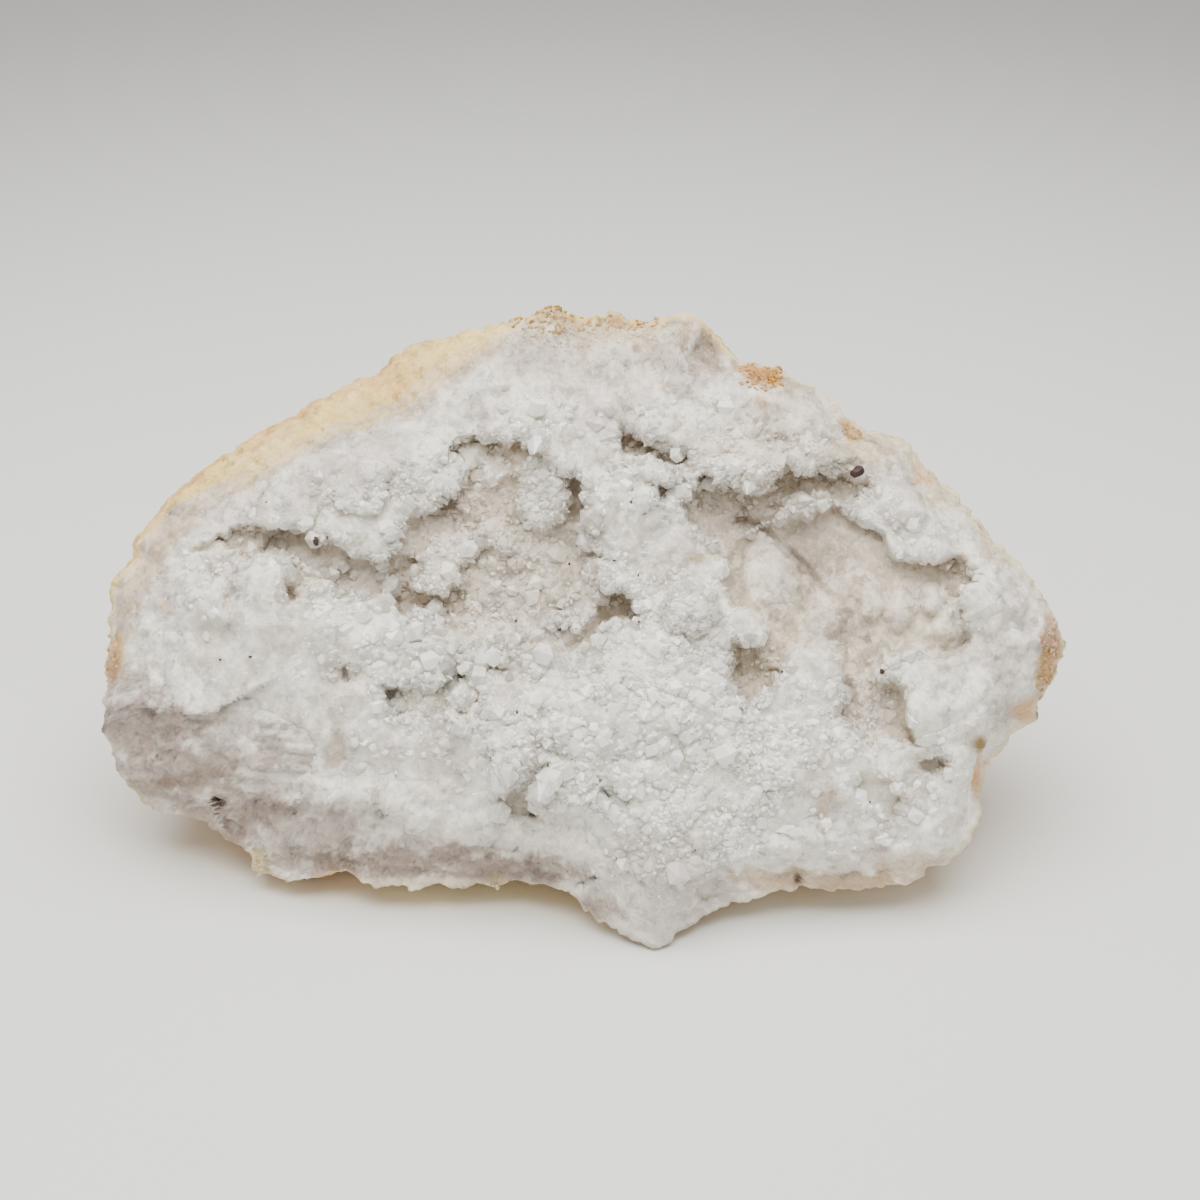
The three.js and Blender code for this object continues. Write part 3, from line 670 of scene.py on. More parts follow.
def linked(tree, kind, sources, sockets, **settings):
    # a node whose first sockets are fed by the sources, in order
    node = addNode(tree, kind, sockets, **settings)
    for source, socket in zip(sources, node.inputs):
        tree.links.new(source, socket)
    return node.outputs[0]


def objectPlace(tree):
    return addNode(tree, "ShaderNodeTexCoord", {}).outputs["Object"]


def attributeOf(tree, name, output="Fac"):
    return addNode(tree, "ShaderNodeAttribute", {}, attribute_name=name).outputs[output]


def noiseOf(tree, where, size, detail, roughness=0.5):
    sockets = {"Scale": 1 / size, "Detail": detail, "Roughness": roughness}
    return linked(tree, "ShaderNodeTexNoise", [where], sockets)


def ranged(tree, value, start=0, full=1, least=0, most=1, **settings):
    ends = {"From Min": start, "From Max": full, "To Min": least, "To Max": most}
    return linked(tree, "ShaderNodeMapRange", [value], ends, **settings)


def facetHeight(tree, where, size):
    # height of small flat crystal faces, each tilted its own way
    cells = addNode(tree, "ShaderNodeTexVoronoi", {"Scale": 1 / size})
    tree.links.new(where, cells.inputs["Vector"])
    sides = [where, cells.outputs["Position"]]
    away = linked(tree, "ShaderNodeVectorMath", sides, {}, operation="SUBTRACT")
    middle = {1: (0.5, 0.5, 0.5)}
    tilt = linked(tree, "ShaderNodeVectorMath", [cells.outputs["Color"]], middle, operation="SUBTRACT")
    height = addNode(tree, "ShaderNodeVectorMath", {}, operation="DOT_PRODUCT")
    tree.links.new(away, height.inputs[0])
    tree.links.new(tilt, height.inputs[1])
    return height.outputs["Value"]


glowRadius = (1.0, 0.9, 0.8)  # light goes a little further in red

stoneLook = {
    "facets": [(0.0016, 0.9), (0.0007, 0.6)],  # size and strength
    "fineSize": 0.0004,
    "fineStrength": 0.45,
    "mottleSize": 0.005,
    "mottle": (0.82, 1.06),
    "speckle": (0.88, 1.06),
    # patches on the rind: size, roughness of the noise, where it starts and is full, share, colour
    "coats": [
        (0.009, 0.68, 0.48, 0.66, 0.55, srgb(248, 222, 168)),  # chalky
        (0.013, 0.7, 0.55, 0.75, 0.5, srgb(186, 138, 84)),  # earthy
    ],
    "quartzRoughness": 0.28,
    "rindRoughness": 0.9,
    "glow": 0.5,
    "glowScale": 0.002,
    "ior": 1.5,
}


def stoneMaterial():
    look = stoneLook
    material, tree, shader, _ = newMaterial("stone")
    link = tree.links.new
    where = objectPlace(tree)
    rind = attributeOf(tree, "rind")
    fine = noiseOf(tree, where, look["fineSize"], 3)
    mottle = noiseOf(tree, where, look["mottleSize"], 6)

    # darker and lighter mottling over the tint
    lightness = ranged(tree, mottle, 0.36, 0.6, *look["mottle"])
    speckle = ranged(tree, fine, 0.25, 0.75, *look["speckle"])
    both = linked(tree, "ShaderNodeMath", [lightness, speckle], {}, operation="MULTIPLY")
    shade = addNode(tree, "ShaderNodeVectorMath", {}, operation="SCALE")
    link(attributeOf(tree, "tint", "Color"), shade.inputs[0])
    link(both, shade.inputs["Scale"])
    colour = shade.outputs["Vector"]
    for size, roughness, start, full, most, coat in look["coats"]:
        share = ranged(tree, noiseOf(tree, where, size, 8, roughness), start, full, 0, most)
        onRind = linked(tree, "ShaderNodeMath", [share, rind], {}, operation="MULTIPLY")
        colour = linked(tree, "ShaderNodeMixRGB", [onRind, colour], {"Color2": (*coat, 1)})
    link(colour, shader.inputs["Base Color"])
    roughness = ranged(tree, rind, 0, 1, look["quartzRoughness"], look["rindRoughness"])
    link(roughness, shader.inputs["Roughness"])

    # broken facets of two sizes, and a finer roughness
    heights = [(facetHeight(tree, where, size), strength, 1) for size, strength in look["facets"]]
    heights.append((fine, look["fineStrength"], look["fineSize"]))
    normal = None
    for height, strength, distance in heights:
        bump = addNode(tree, "ShaderNodeBump", {"Strength": strength, "Distance": distance})
        link(height, bump.inputs["Height"])
        if normal is not None:
            link(normal, bump.inputs["Normal"])
        normal = bump.outputs["Normal"]
    link(normal, shader.inputs["Normal"])
    setInputs(shader, {"Subsurface Weight": look["glow"], "Subsurface Radius": glowRadius})
    setInputs(shader, {"Subsurface Scale": look["glowScale"], "IOR": look["ior"]})
    return material


crystalLook = {
    "clearness": 0.62,  # light let through by the clearest
    "milkiness": 0.04,  # and by the milkiest
    "veils": 0.4,
    "veilSize": 0.0011,
    "roughness": 0.06,
    "glow": 0.06,
    "glowScale": 0.0015,
    "ior": 1.54,
    "absorption": 4.0,  # per metre
    "absorbed": (0.95, 0.94, 0.91, 1),
}


def crystalMaterial():
    look = crystalLook
    material, tree, shader, out = newMaterial("quartzCrystal")
    link = tree.links.new
    link(attributeOf(tree, "tint", "Color"), shader.inputs["Base Color"])

    # milky veils in the clear quartz
    veil = noiseOf(tree, objectPlace(tree), look["veilSize"], 3)
    veiled = ranged(tree, veil, 0.45, 0.7, 0, look["veils"])
    milky = linked(tree, "ShaderNodeMath", [attributeOf(tree, "milk"), veiled], {}, operation="ADD")
    clear = ranged(tree, milky, 0, 1, look["clearness"], look["milkiness"])
    link(clear, shader.inputs["Transmission Weight"])
    setInputs(shader, {"Subsurface Weight": look["glow"], "Subsurface Radius": glowRadius})
    setInputs(shader, {"Subsurface Scale": look["glowScale"], "IOR": look["ior"]})
    setInputs(shader, {"Roughness": look["roughness"]})
    soaked = {"Density": look["absorption"], "Color": look["absorbed"]}
    soak = addNode(tree, "ShaderNodeVolumeAbsorption", soaked)
    link(soak.outputs["Volume"], out.inputs["Volume"])
    return material


stone = stoneMaterial()
crystal = crystalMaterial()
print("materials made")

# the rock: its broken wall and its rind
rockShape = {
    "around": 760,  # points in each ring
    "wallRings": 38,
    "backRings": 60,
    "wallExtra": 7,  # mm that the wall runs on under the crust
    "wallMost": 0.7,  # of the way to the middle
    "behindCrust": 21,
    "backDepth": 55,
    "backRoundness": 0.98,
    "backInset": 72,  # mm round the back from the rim to the middle
    "towardsRim": 1.5,  # higher sets the back's rings closer at the rim
    "towardsMiddle": 0.997,
    "evening": 22,  # higher keeps more of the rim's outline on the back
    "swellPeak": 0.17,
    "raggedEdge": 0.6,
    "teeth": 0.4,
    "wallLumps": 1.1,
    "sugar": 0.2,
    "facets": 0.35,
    "rindLumps": 1.3,
    "pebbles": 0.4,
    "fibres": 0.4,
    "tanShare": 0.85,
}
faceMiddle = np.array([4.0, 3.0])
backMiddle = np.array([4.0, -4.0])


def lowestDepth(y, depth, clearance):
    # as deep as asked, but not through the foot of the stone
    above = (clearance - faceOrigin[2] - y * faceUp[2]) / faceOut[2]
    return np.maximum(-depth, above)


def aroundRim(count):
    # the rim's points, evenly spaced along it
    closed = np.vstack([rim, rim[:1]])
    lengths = np.hypot(*np.diff(closed[:, :2], axis=0).T)
    along = np.concatenate([[0], np.cumsum(lengths)])
    at = np.linspace(0, along[-1], count, endpoint=False)
    return np.stack([np.interp(at, along, closed[:, k]) for k in range(5)], axis=1)


def ringFaces(rings, around):
    # quads between rings of points, in order
    i = np.arange(around)
    faces = []
    for k in range(rings - 1):
        near = k * around
        far = near + around
        faces.append(np.stack([near + i, far + i, far + (i + 1) % around, near + (i + 1) % around], axis=1))
    return np.concatenate(faces)


def evened(values, window):
    # each row averaged with its neighbours round the rim
    total = sum(np.roll(values, k, axis=0) for k in range(-window, window + 1))
    return total / (2 * window + 1)


def backRingsOf(edge, further):
    # from the middle of the back round to the rim; at the left the break comes further round
    s = rockShape
    rings = []
    start = seenAt(edge[:, 0], edge[:, 1], -edge[:, 2])[:, :2]
    rounder = evened(start, round(len(edge) / s["evening"]))
    for k in range(s["backRings"], 0, -1):
        way = (k / s["backRings"]) ** s["towardsRim"] * s["towardsMiddle"]
        narrowing = math.cos(way * math.pi / 2) ** s["backRoundness"]
        z = mixed(-edge[:, 2], -s["backDepth"], math.sin(way * math.pi / 2))
        swelling = (way / s["swellPeak"]) * math.exp(1 - way / s["swellPeak"])
        away = mixed(start, rounder, min(1, way * 2.2)) - backMiddle
        reach = np.linalg.norm(away, axis=1)
        radius = reach * narrowing + edge[:, 3] * swelling
        ring = np.column_stack([backMiddle + away * (radius / reach)[:, None], z])
        rind = np.clip(way * s["backInset"] - 2.2 * further, 0, 1)
        rings.append((ring, rind, np.full(len(edge), -way * s["backInset"])))
    return rings


def wallRingsOf(edge, further):
    # over the broken wall, in under the crust
    s = rockShape
    rings = []
    # along the foot the rind is thin and pale, and at the left the rim is quartz
    lowerEdge = np.clip((-edge[:, 1] - 0.2 * edge[:, 0] - 22) / 6, 0, 1)
    rimRind = (1 - further) * (1 - 0.85 * lowerEdge)
    inward = faceMiddle - edge[:, :2]
    full = np.linalg.norm(inward, axis=1)
    inward /= full[:, None]
    width = np.minimum(edge[:, 4] + s["wallExtra"], full * s["wallMost"])
    for k in range(s["wallRings"] + 1):
        step = width * k / s["wallRings"]
        at = edge[:, :2] + inward * step[:, None]
        z = rockFront(at[:, 0], at[:, 1]) if k else -edge[:, 2]
        rings.append((seenAt(at[:, 0], at[:, 1], z), max(0.0, 1 - k / 1.5) * rimRind, step))
    # and down behind the crust, where nothing is seen
    for beyond, share in ((0.4, 0), (0.8, 0), (0.8, 0.5)):
        at = mixed(edge[:, :2] + inward * (width + beyond)[:, None], faceMiddle, share)
        if beyond < 0.5:
            z = rockFront(at[:, 0], at[:, 1]) - 2
        else:
            z = lowestDepth(at[:, 1], s["behindCrust"], 2)
        rings.append((seenAt(at[:, 0], at[:, 1], z), np.zeros(len(edge)), width))
    return rings


def rockHeight(points, inset, rindShare, fibreShare, alongFibres):
    # lumps, sugary grains, broken facets and fibres on the wall, pebbles on the rind
    s = rockShape
    lumps = s["wallLumps"] * layered(points, 7, 4, 51, 0.6)
    sugar = s["sugar"] * (layered(points, 1.7, 2, 57) + 0.7 * pebbled(points, 2.1, 61))
    broken = s["facets"] * (faceted(points, 3.6, 63) + 0.4 * faceted(points, 1.5, 65))
    fibres = s["fibres"] * fibreShare * layered(alongFibres, 1.3, 3, 67, 0.7)
    fineRind = 0.3 * pebbled(points, 2.4, 75) + 0.25 * layered(points, 1.8, 3, 77, 0.7)
    rindRough = s["rindLumps"] * layered(points, 18, 3, 71) + s["pebbles"] * (pebbled(points, 7, 73) - 0.3)
    rindRough = rindRough + fineRind * np.clip(1.3 + inset / 12, 0, 1)
    near = np.clip(np.abs(inset) / 3, 0.3, 1)
    return (1 - rindShare) * (lumps + sugar + broken + fibres) * near + rindShare * rindRough * near


def rockColours(points, inset, rindShare, fibreShare, alongFibres):
    # milky quartz, a tan line at the break, a cream rind
    x, y = onFacePlane(points)
    upperLeft = np.clip((y + 4) / 6, 0, 1) * np.clip((12 - x) / 8, 0, 1)
    bandWidth = mixed(0.6, 2.3, upperLeft) * (1 + 0.6 * layered(points, 5, 3, 81))
    band = np.clip(1.5 - np.abs(inset) / bandWidth, 0, 1)[:, None]
    bandColour = mixed(quartzColours["edge"], quartzColours["edgeBrown"], 0.7 * upperLeft[:, None])
    wallColour = mixed(quartzColours["milky"], bandColour, 0.75 * band)
    wallColour = faceColours(x, y, points[:, 2], wallColour)
    streak = np.clip(0.6 * fibreShare * (0.4 + layered(alongFibres, 1.6, 3, 69, 0.7)), 0, 0.5)[:, None]
    wallColour = mixed(wallColour, quartzColours["lilac"][None], streak)
    tan = (-inset - 2.6) / 5 + 0.35 * np.clip((-x - 56) / 14, 0, 1) + 0.9 * layered(points, 14, 3, 83)
    tan = np.clip(tan, 0, 1)[:, None] * rockShape["tanShare"]
    rindColour = mixed(quartzColours["rind"][None], quartzColours["rindTan"][None], tan)
    pale = np.clip(1.4 + inset / 6 + 0.5 * layered(points, 3, 2, 85), 0, 1) * (x > 25)
    rindColour = mixed(rindColour, quartzColours["cream"][None], 0.8 * pale[:, None])
    return mixed(wallColour, rindColour, rindShare[:, None])


def makeRock():
    s = rockShape
    around = s["around"]
    edge = aroundRim(around)
    outline = onFlat(edge[:, 0], edge[:, 1])
    outward = edge[:, :2] - faceMiddle
    outward /= np.linalg.norm(outward, axis=1)[:, None]
    ragged = s["raggedEdge"] * (layered(outline, 4, 4, 41, 0.7) - 0.3)
    ragged = ragged + s["teeth"] * layered(outline, 1.6, 2, 43)
    edge[:, :2] += outward * ragged[:, None]
    further = np.clip((-edge[:, 0] - 54) / 12, 0, 1) * np.clip((edge[:, 1] + 22) / 8, 0, 1)

    # rings of points, with one point more at the middle of the front and of the back
    rings, rinds, insets = zip(*(backRingsOf(edge, further) + wallRingsOf(edge, further)))
    middleFront = seenAt(faceMiddle[:1], faceMiddle[1:], np.array([-s["behindCrust"]]))
    middleBack = np.array([[backMiddle[0], backMiddle[1], -s["backDepth"]]])
    points = np.concatenate([*rings, middleFront, middleBack])
    rindShare = np.concatenate([*rinds, [0.0], [1.0]])
    inset = np.concatenate([*insets, [20.0], [-60.0]])
    i = np.arange(around)
    last = (len(rings) - 1) * around
    front = np.stack([last + i, np.full(around, len(points) - 2), last + (i + 1) % around], axis=1)
    back = np.stack([i, (i + 1) % around, np.full(around, len(points) - 1)], axis=1)
    mesh = makeMesh("rockShell", toWorld(points), [ringFaces(len(rings), around), front, back])

    # fibres run across the left side and along the foot
    x, y = onFacePlane(points)
    alongFibres = points @ np.array([[1, 0.12, 0], [-0.12, 1, 0], [0, 0, 1]]) * np.array([0.16, 1, 0.5])
    fibreShare = np.clip(1.8 - reachIn(x, y, (-66, -19, 20, 14)), 0, 1)
    atFoot = np.clip(1.4 - reachIn(x, y, (-26, -37, 30, 5)), 0, 1)
    fibreShare = np.maximum(fibreShare, atFoot * 0.7)
    about = (points, inset, rindShare, fibreShare, alongFibres)
    normals = vectorsOf(mesh.vertex_normals, "vector")
    setPoints(mesh, toWorld(points) + normals * (rockHeight(*about) / 1000)[:, None])
    setTint(mesh, rockColours(*about))
    setValue(mesh, "rind", rindShare)
    setShading(mesh, True)
    return addPiece("rockShell", mesh, stone, "rock_shell")


rock = makeRock()
print("rock made", len(rock.data.polygons), "faces")

# the bed of the crystal crust, with its lumps and ledges
bedShape = {
    "step": 0.43,  # mm between the points
    "thickness": 2.6,
    "atBorder": -1.2,  # sunk under the wall at its border
    "grow": 8,  # mm from the border to the full thickness
    "grape": 1.1,  # height of the rounded lumps
    "grapeSize": 6.5,
    "smallGrape": 0.35,
    "smallGrapeSize": 2.7,
    "facet": 0.5,
    "smallFacet": 0.22,
    "ledgeReach": 1.3,  # how near a drop makes a ledge
    "depth": 18,
}


def bedTop(x, y):
    s = bedShape
    distance, _, wall = nearestRim(x, y)
    flat = onFlat(x, y)
    grown = np.clip((distance - wall) / s["grow"] + 0.22 * layered(flat, 5, 3, 89), 0, 1)
    calm = (1 - 0.92 * np.maximum(smoothHollow(x, y), massiveQuartz(x, y))) * (0.35 + 0.65 * druse(x, y))
    grapes = s["grape"] * (pebbled(flat, s["grapeSize"], 91) - 0.4)
    grapes = grapes + s["smallGrape"] * (pebbled(flat, s["smallGrapeSize"], 93) - 0.4)
    grapes = grapes + 0.5 * layered(flat, 3.6, 3, 95)
    height = rockFront(x, y) + mixed(s["atBorder"], s["thickness"], grown)
    return height + grapes * np.clip(grown + 0.2, 0, 1) * calm


def lowestNear(grid, cells):
    # the lowest value within so many cells of each one
    low = grid.copy()
    for shift in range(1, cells + 1):
        for axis in (0, 1):
            low = np.minimum(low, np.roll(grid, shift, axis=axis))
            low = np.minimum(low, np.roll(grid, -shift, axis=axis))
    return low


def makeBed():
    s = bedShape
    columns = np.arange(-80, 80.01, s["step"])
    rows = np.arange(-52, 56.01, s["step"])
    gx, gy = np.meshgrid(columns, rows)
    x, y = gx.ravel(), gy.ravel()
    distance, _, wall = nearestRim(x, y)
    inside = distance > wall - 1
    z = bedTop(x, y)
    lowest = lowestNear(z.reshape(gx.shape), round(s["ledgeReach"] / s["step"]))
    drop = z - lowest.ravel()
    top = seenAt(x, y, z)
    index = np.arange(len(x)).reshape(gx.shape)
    a, b = index[:-1, :-1].ravel(), index[:-1, 1:].ravel()
    c, d = index[1:, 1:].ravel(), index[1:, :-1].ravel()
    kept = inside[a] & inside[b] & inside[c] & inside[d]
    quads = np.stack([a, b, c, d], axis=1)[kept]

    # sides from the border down behind the face, closed to a point inside the rock
    near = quads.ravel()
    far = np.roll(quads, -1, axis=1).ravel()
    forward = near.astype(np.int64) * len(x) + far
    backward = far.astype(np.int64) * len(x) + near
    border = ~np.isin(backward, forward)
    near, far = near[border], far[border]
    ends = np.unique(np.concatenate([near, far]))
    lowerOf = np.zeros(len(x), int)
    lowerOf[ends] = np.arange(len(ends)) + len(x)
    lower = seenAt(x[ends], y[ends], lowestDepth(y[ends], s["depth"], 3))
    middle = seenAt(faceMiddle[:1], faceMiddle[1:], np.array([-19.0]))
    sides = np.stack([far, near, lowerOf[near], lowerOf[far]], axis=1)
    fan = np.stack([lowerOf[far], lowerOf[near], np.full(len(near), len(x) + len(ends))], axis=1)
    points = np.concatenate([top, lower, middle])
    used = np.zeros(len(points), bool)
    used[quads.ravel()] = True
    used[len(x) :] = True
    order = np.cumsum(used) - 1
    mesh = makeMesh("crustBed", toWorld(points[used]), [order[quads], order[sides], order[fan]])

    # flat broken facets and grains over the larger lumps
    face = toFace(vectorsOf(mesh.vertices, "co"))
    across, up = onFacePlane(face)
    rough = 1 - 0.75 * np.maximum(smoothHollow(across, up), 0.7 * massiveQuartz(across, up))
    grain = s["facet"] * faceted(face, 2.6, 101) + s["smallFacet"] * faceted(face, 1.3, 105)
    grain = grain * rough * (0.4 + 0.6 * druse(across, up)) + 0.1 * layered(face, 1.2, 2, 109)
    onTop = (np.arange(len(face)) < len(face) - len(ends) - 1) * 1.0
    setPoints(mesh, raised(mesh, grain * onTop))
    setTint(mesh, faceColours(across, up, face[:, 2], quartzColours["milky"]))
    setValue(mesh, "rind", np.zeros(len(face)))
    setValue(mesh, "drop", np.concatenate([drop, np.zeros(len(ends) + 1)])[used])
    setShading(mesh, True)
    piece = addPiece("crustBed", mesh, stone, "crystal_crust")
    return piece, len(quads)


bed, bedTopFaces = makeBed()
print("crust bed made", len(bed.data.polygons), "faces")

# the crystals that cover the crust
crystalShape = {
    "widths": (0.25, 2.2),
    "stray": 0.5,  # how far each one leans off
    "together": 0.9,  # how much neighbours lean the same way
    "sparse": 0.05,  # chance anywhere
    "clustered": 0.5,  # more in clusters
    "atLedges": 0.9,
    "inClefts": 0.5,
    "perPiece": 8000,
    "largeSunk": 0.35,  # share of a large one that is in the crust
    "largeColour": srgb(246, 244, 238),
    "kinds": [
        {
            "radius": 1.15, "spread": 0.3, "cell": 2.6, "most": 3200,
            "stretch": (1.4, 2.2), "sunk": 0.78, "milk": 1.1, "longer": 0,
        },
        {
            "radius": 0.46, "spread": 0.36, "cell": 0.82, "most": 20000,
            "stretch": (1.5, 2.8), "sunk": 0.62, "milk": 1.0, "longer": 0.5,
        },
    ],
}

# places with larger or smaller crystals: x, y, half width, half height, size
sizes = [
    (-24, -4, 9, 5, 1.5), (-34, 2, 8, 4, 1.35), (-7, -22, 12, 12, 1.5), (-10, -2, 10, 6, 1.3),
    (13, -14, 14, 14, 1.2), (-12, 12, 16, 12, 0.95), (60, -12, 9, 9, 0.95), (-50, 8, 14, 8, 0.95),
    (10, 48, 30, 8, 0.8), (50, 26, 16, 8, 0.9), (-50, -28, 20, 8, 0.7),
]

# single large crystals: x, y, lean right, lean up, radius, length, milkiness
largeCrystals = [
    (-5.4, -24.5, -0.5, -0.7, 1.9, 6.5, 0.4), (-12, -22, -0.2, -0.8, 1.6, 5, 0.3),
    (-6, -2.6, -0.1, 0.3, 2.0, 4.5, 0.9), (-14.5, -3, 0.1, 0.2, 1.8, 4, 0.9),
    (-7.5, 33, 0.1, -0.7, 1.8, 6, 1), (-31, 17.6, -0.6, -0.3, 1.1, 5, 0.3),
    (-16.5, 30, -0.3, 0.2, 1.2, 4, 0.2), (-18.5, 15, -0.2, 0.2, 1.6, 4, 0.8),
    (10, -25, 0.2, -0.5, 1.3, 4, 0.4), (4, -27, 0.3, -0.6, 1.6, 5, 0.3),
    (-20, -15, -0.3, 0.5, 1.4, 4, 0.4), (-25, -12, 0.2, 0.4, 1.2, 4, 0.2),
]


def crystalTemplate():
    # a six-sided prism with a point, along +z, radius 1, length 1
    turn = np.arange(6) * np.pi / 3
    ring = np.stack([np.cos(turn), np.sin(turn)], axis=1)
    bottom = np.column_stack([ring * 0.85, np.zeros(6)])
    shoulder = np.column_stack([ring, np.full(6, 0.6)])
    return np.vstack([bottom, shoulder, [[0, 0, 1]]])


def growCrystals(name, table):
    # each row of the table: root, direction, radius, length, milkiness, colour
    roots, directions, radii, lengths, milk, colours = np.split(table, [3, 6, 7, 8, 9], axis=1)
    count = len(table)
    template = crystalTemplate()
    corners = len(template)
    shapes = np.repeat(template[None], count, axis=0)
    # uneven shoulders and points set off the axis, as in real quartz
    shapes[:, 6:12, 2] += rng.uniform(-0.1, 0.1, (count, 6))
    shapes[:, 12, :2] += rng.uniform(-0.35, 0.35, (count, 2))
    spin = rng.uniform(0, 2 * np.pi, count)
    cosSpin, sinSpin = np.cos(spin)[:, None], np.sin(spin)[:, None]
    flatten = rng.uniform(0.6, 1.1, count)[:, None]
    px = shapes[:, :, 0] * radii
    py = shapes[:, :, 1] * radii * flatten
    px, py = px * cosSpin - py * sinSpin, px * sinSpin + py * cosSpin
    pz = shapes[:, :, 2] * lengths
    helper = np.where(np.abs(directions[:, :1]) > 0.8, [[0.0, 1.0, 0.0]], [[1.0, 0.0, 0.0]])
    side = np.cross(directions, helper)
    side /= np.linalg.norm(side, axis=1)[:, None]
    other = np.cross(directions, side)
    points = (
        roots[:, None]
        + px[:, :, None] * side[:, None]
        + py[:, :, None] * other[:, None]
        + pz[:, :, None] * directions[:, None]
    ).reshape(-1, 3)
    base = (np.arange(count) * corners)[:, None]
    k = np.arange(6)
    nextK = (k + 1) % 6
    quads = np.stack([k, nextK, nextK + 6, k + 6], axis=1)[None] + base[:, None]
    tips = np.stack([k + 6, nextK + 6, np.full(6, 12)], axis=1)[None] + base[:, None]
    floors = k[::-1][None] + base
    mesh = makeMesh(name, toWorld(points), [quads.reshape(-1, 4), tips.reshape(-1, 3), floors])
    setPoints(mesh, toWorld(points))
    setTint(mesh, np.repeat(colours, corners, axis=0))
    setValue(mesh, "milk", np.repeat(milk[:, 0], corners))
    setShading(mesh, False)
    return addPiece(name, mesh, crystal, "crystal_crust")


def facesOf(piece, count):
    # middle and direction of the first faces of a piece, on the face's axes
    faces = piece.data.polygons
    return toFace(vectorsOf(faces, "center")[:count]), turnedToFace(vectorsOf(faces, "normal")[:count])


def crystalSites():
    # where crystals can stand, how likely one is there, and how clear it is
    s = crystalShape
    # on the crust: in clusters, at the edges of the ledges and in the clefts between the lumps
    centres, normals = facesOf(bed, bedTopFaces)
    x, y = onFacePlane(centres)
    flat = onFlat(x, y)
    firstCorner = np.zeros(len(bed.data.polygons), np.int32)
    bed.data.polygons.foreach_get("loop_start", firstCorner)
    corners = np.zeros(len(bed.data.loops), np.int32)
    bed.data.loops.foreach_get("vertex_index", corners)
    drops = np.zeros(len(bed.data.vertices), np.float32)
    bed.data.attributes["drop"].data.foreach_get("value", drops)
    drop = drops[corners[firstCorner[:bedTopFaces]]]
    atLedge = np.clip((drop - 1.2) / 1.6, 0, 1)
    cluster = softened(0.5 + 2.2 * layered(flat, 8, 3, 121, 0.7))
    cleft = softened((0.5 - pebbled(flat, bedShape["grapeSize"], 91)) * 3)
    bare = np.maximum(smoothHollow(x, y), massiveQuartz(x, y))
    crowd = druse(x, y)
    floors = np.clip(hollowDepth(x, y) / 3 - 0.4, 0, 1) * (1 - atLedge)
    chance = (s["sparse"] + s["clustered"] * cluster + s["inClefts"] * cleft) * (0.06 + 0.94 * crowd)
    chance = chance * (1 - 0.7 * floors) + s["atLedges"] * atLedge * (0.35 + 0.65 * crowd)
    chance *= 1 - 0.97 * bare
    clear = np.clip(atLedge + 0.3 * cluster, 0, 1)
    onBed = np.column_stack([centres, normals, clear, chance])
    # on the wall beside it they thin out
    centres, normals = facesOf(rock, len(rock.data.polygons))
    x, y = onFacePlane(centres)
    distance, _, wall = nearestRim(x, y)
    above = centres[:, 2] - rockFront(x, y)
    fringe = np.clip((distance - wall + 4) / 6, 0, 1)
    bare = np.maximum(smoothHollow(x, y), massiveQuartz(x, y))
    chance = 0.4 * fringe * (1 - bare) * (above > -1.5) * (0.1 + 0.9 * druse(x, y))
    onRock = np.column_stack([centres, normals, np.full(len(x), 0.3), chance])[chance > 0]
    return np.concatenate([onBed, onRock])


cellPrimes = np.array([73856093, 19349663, 83492791])  # they make one number of a cell's three


def chosenSites(sites, cellSize, most):
    good = sites[rng.random(len(sites)) < sites[:, 7]]
    rng.shuffle(good)
    # one site in each small cube of space
    cell = np.floor(good[:, :3] / (cellSize * 1)).astype(np.int64)
    key = np.bitwise_xor.reduce(cell * cellPrimes, axis=1)
    _, first = np.unique(key, return_index=True)
    return good[np.sort(first)[:most]]


def shapeCrystals(sites, kind):
    # root, direction, radius, length, milkiness and colour of each crystal
    s = crystalShape
    count = len(sites)
    x, y = onFacePlane(sites[:, :3])
    size = np.ones(count)
    for *ellipse, grow in sizes:
        size = mixed(size, grow, np.clip(1.4 - reachIn(x, y, ellipse), 0, 1))
    wide = kind["radius"] * np.exp(rng.normal(0, kind["spread"], count)) * size
    wide = np.clip(wide, *s["widths"])
    long = wide * rng.uniform(*kind["stretch"], count) * (1 + kind["longer"] * sites[:, 6])
    together = np.stack([smooth(sites[:, :3], 4, seed) for seed in (131, 133, 135)], axis=1)
    lean = sites[:, 3:6] + rng.normal(0, s["stray"], (count, 3)) * 0.7
    lean = lean + together * s["together"] + [0, 0, 0.2]
    lean /= np.linalg.norm(lean, axis=1)[:, None]
    roots = sites[:, :3] - lean * (long * kind["sunk"])[:, None]
    colours = faceColours(x, y, sites[:, 2], quartzColours["crystal"])
    milk = np.clip(rng.normal(kind["milk"], 0.25, count) - 0.8 * sites[:, 6], 0, 1)
    return np.column_stack([roots, lean, wide, long, milk, colours])


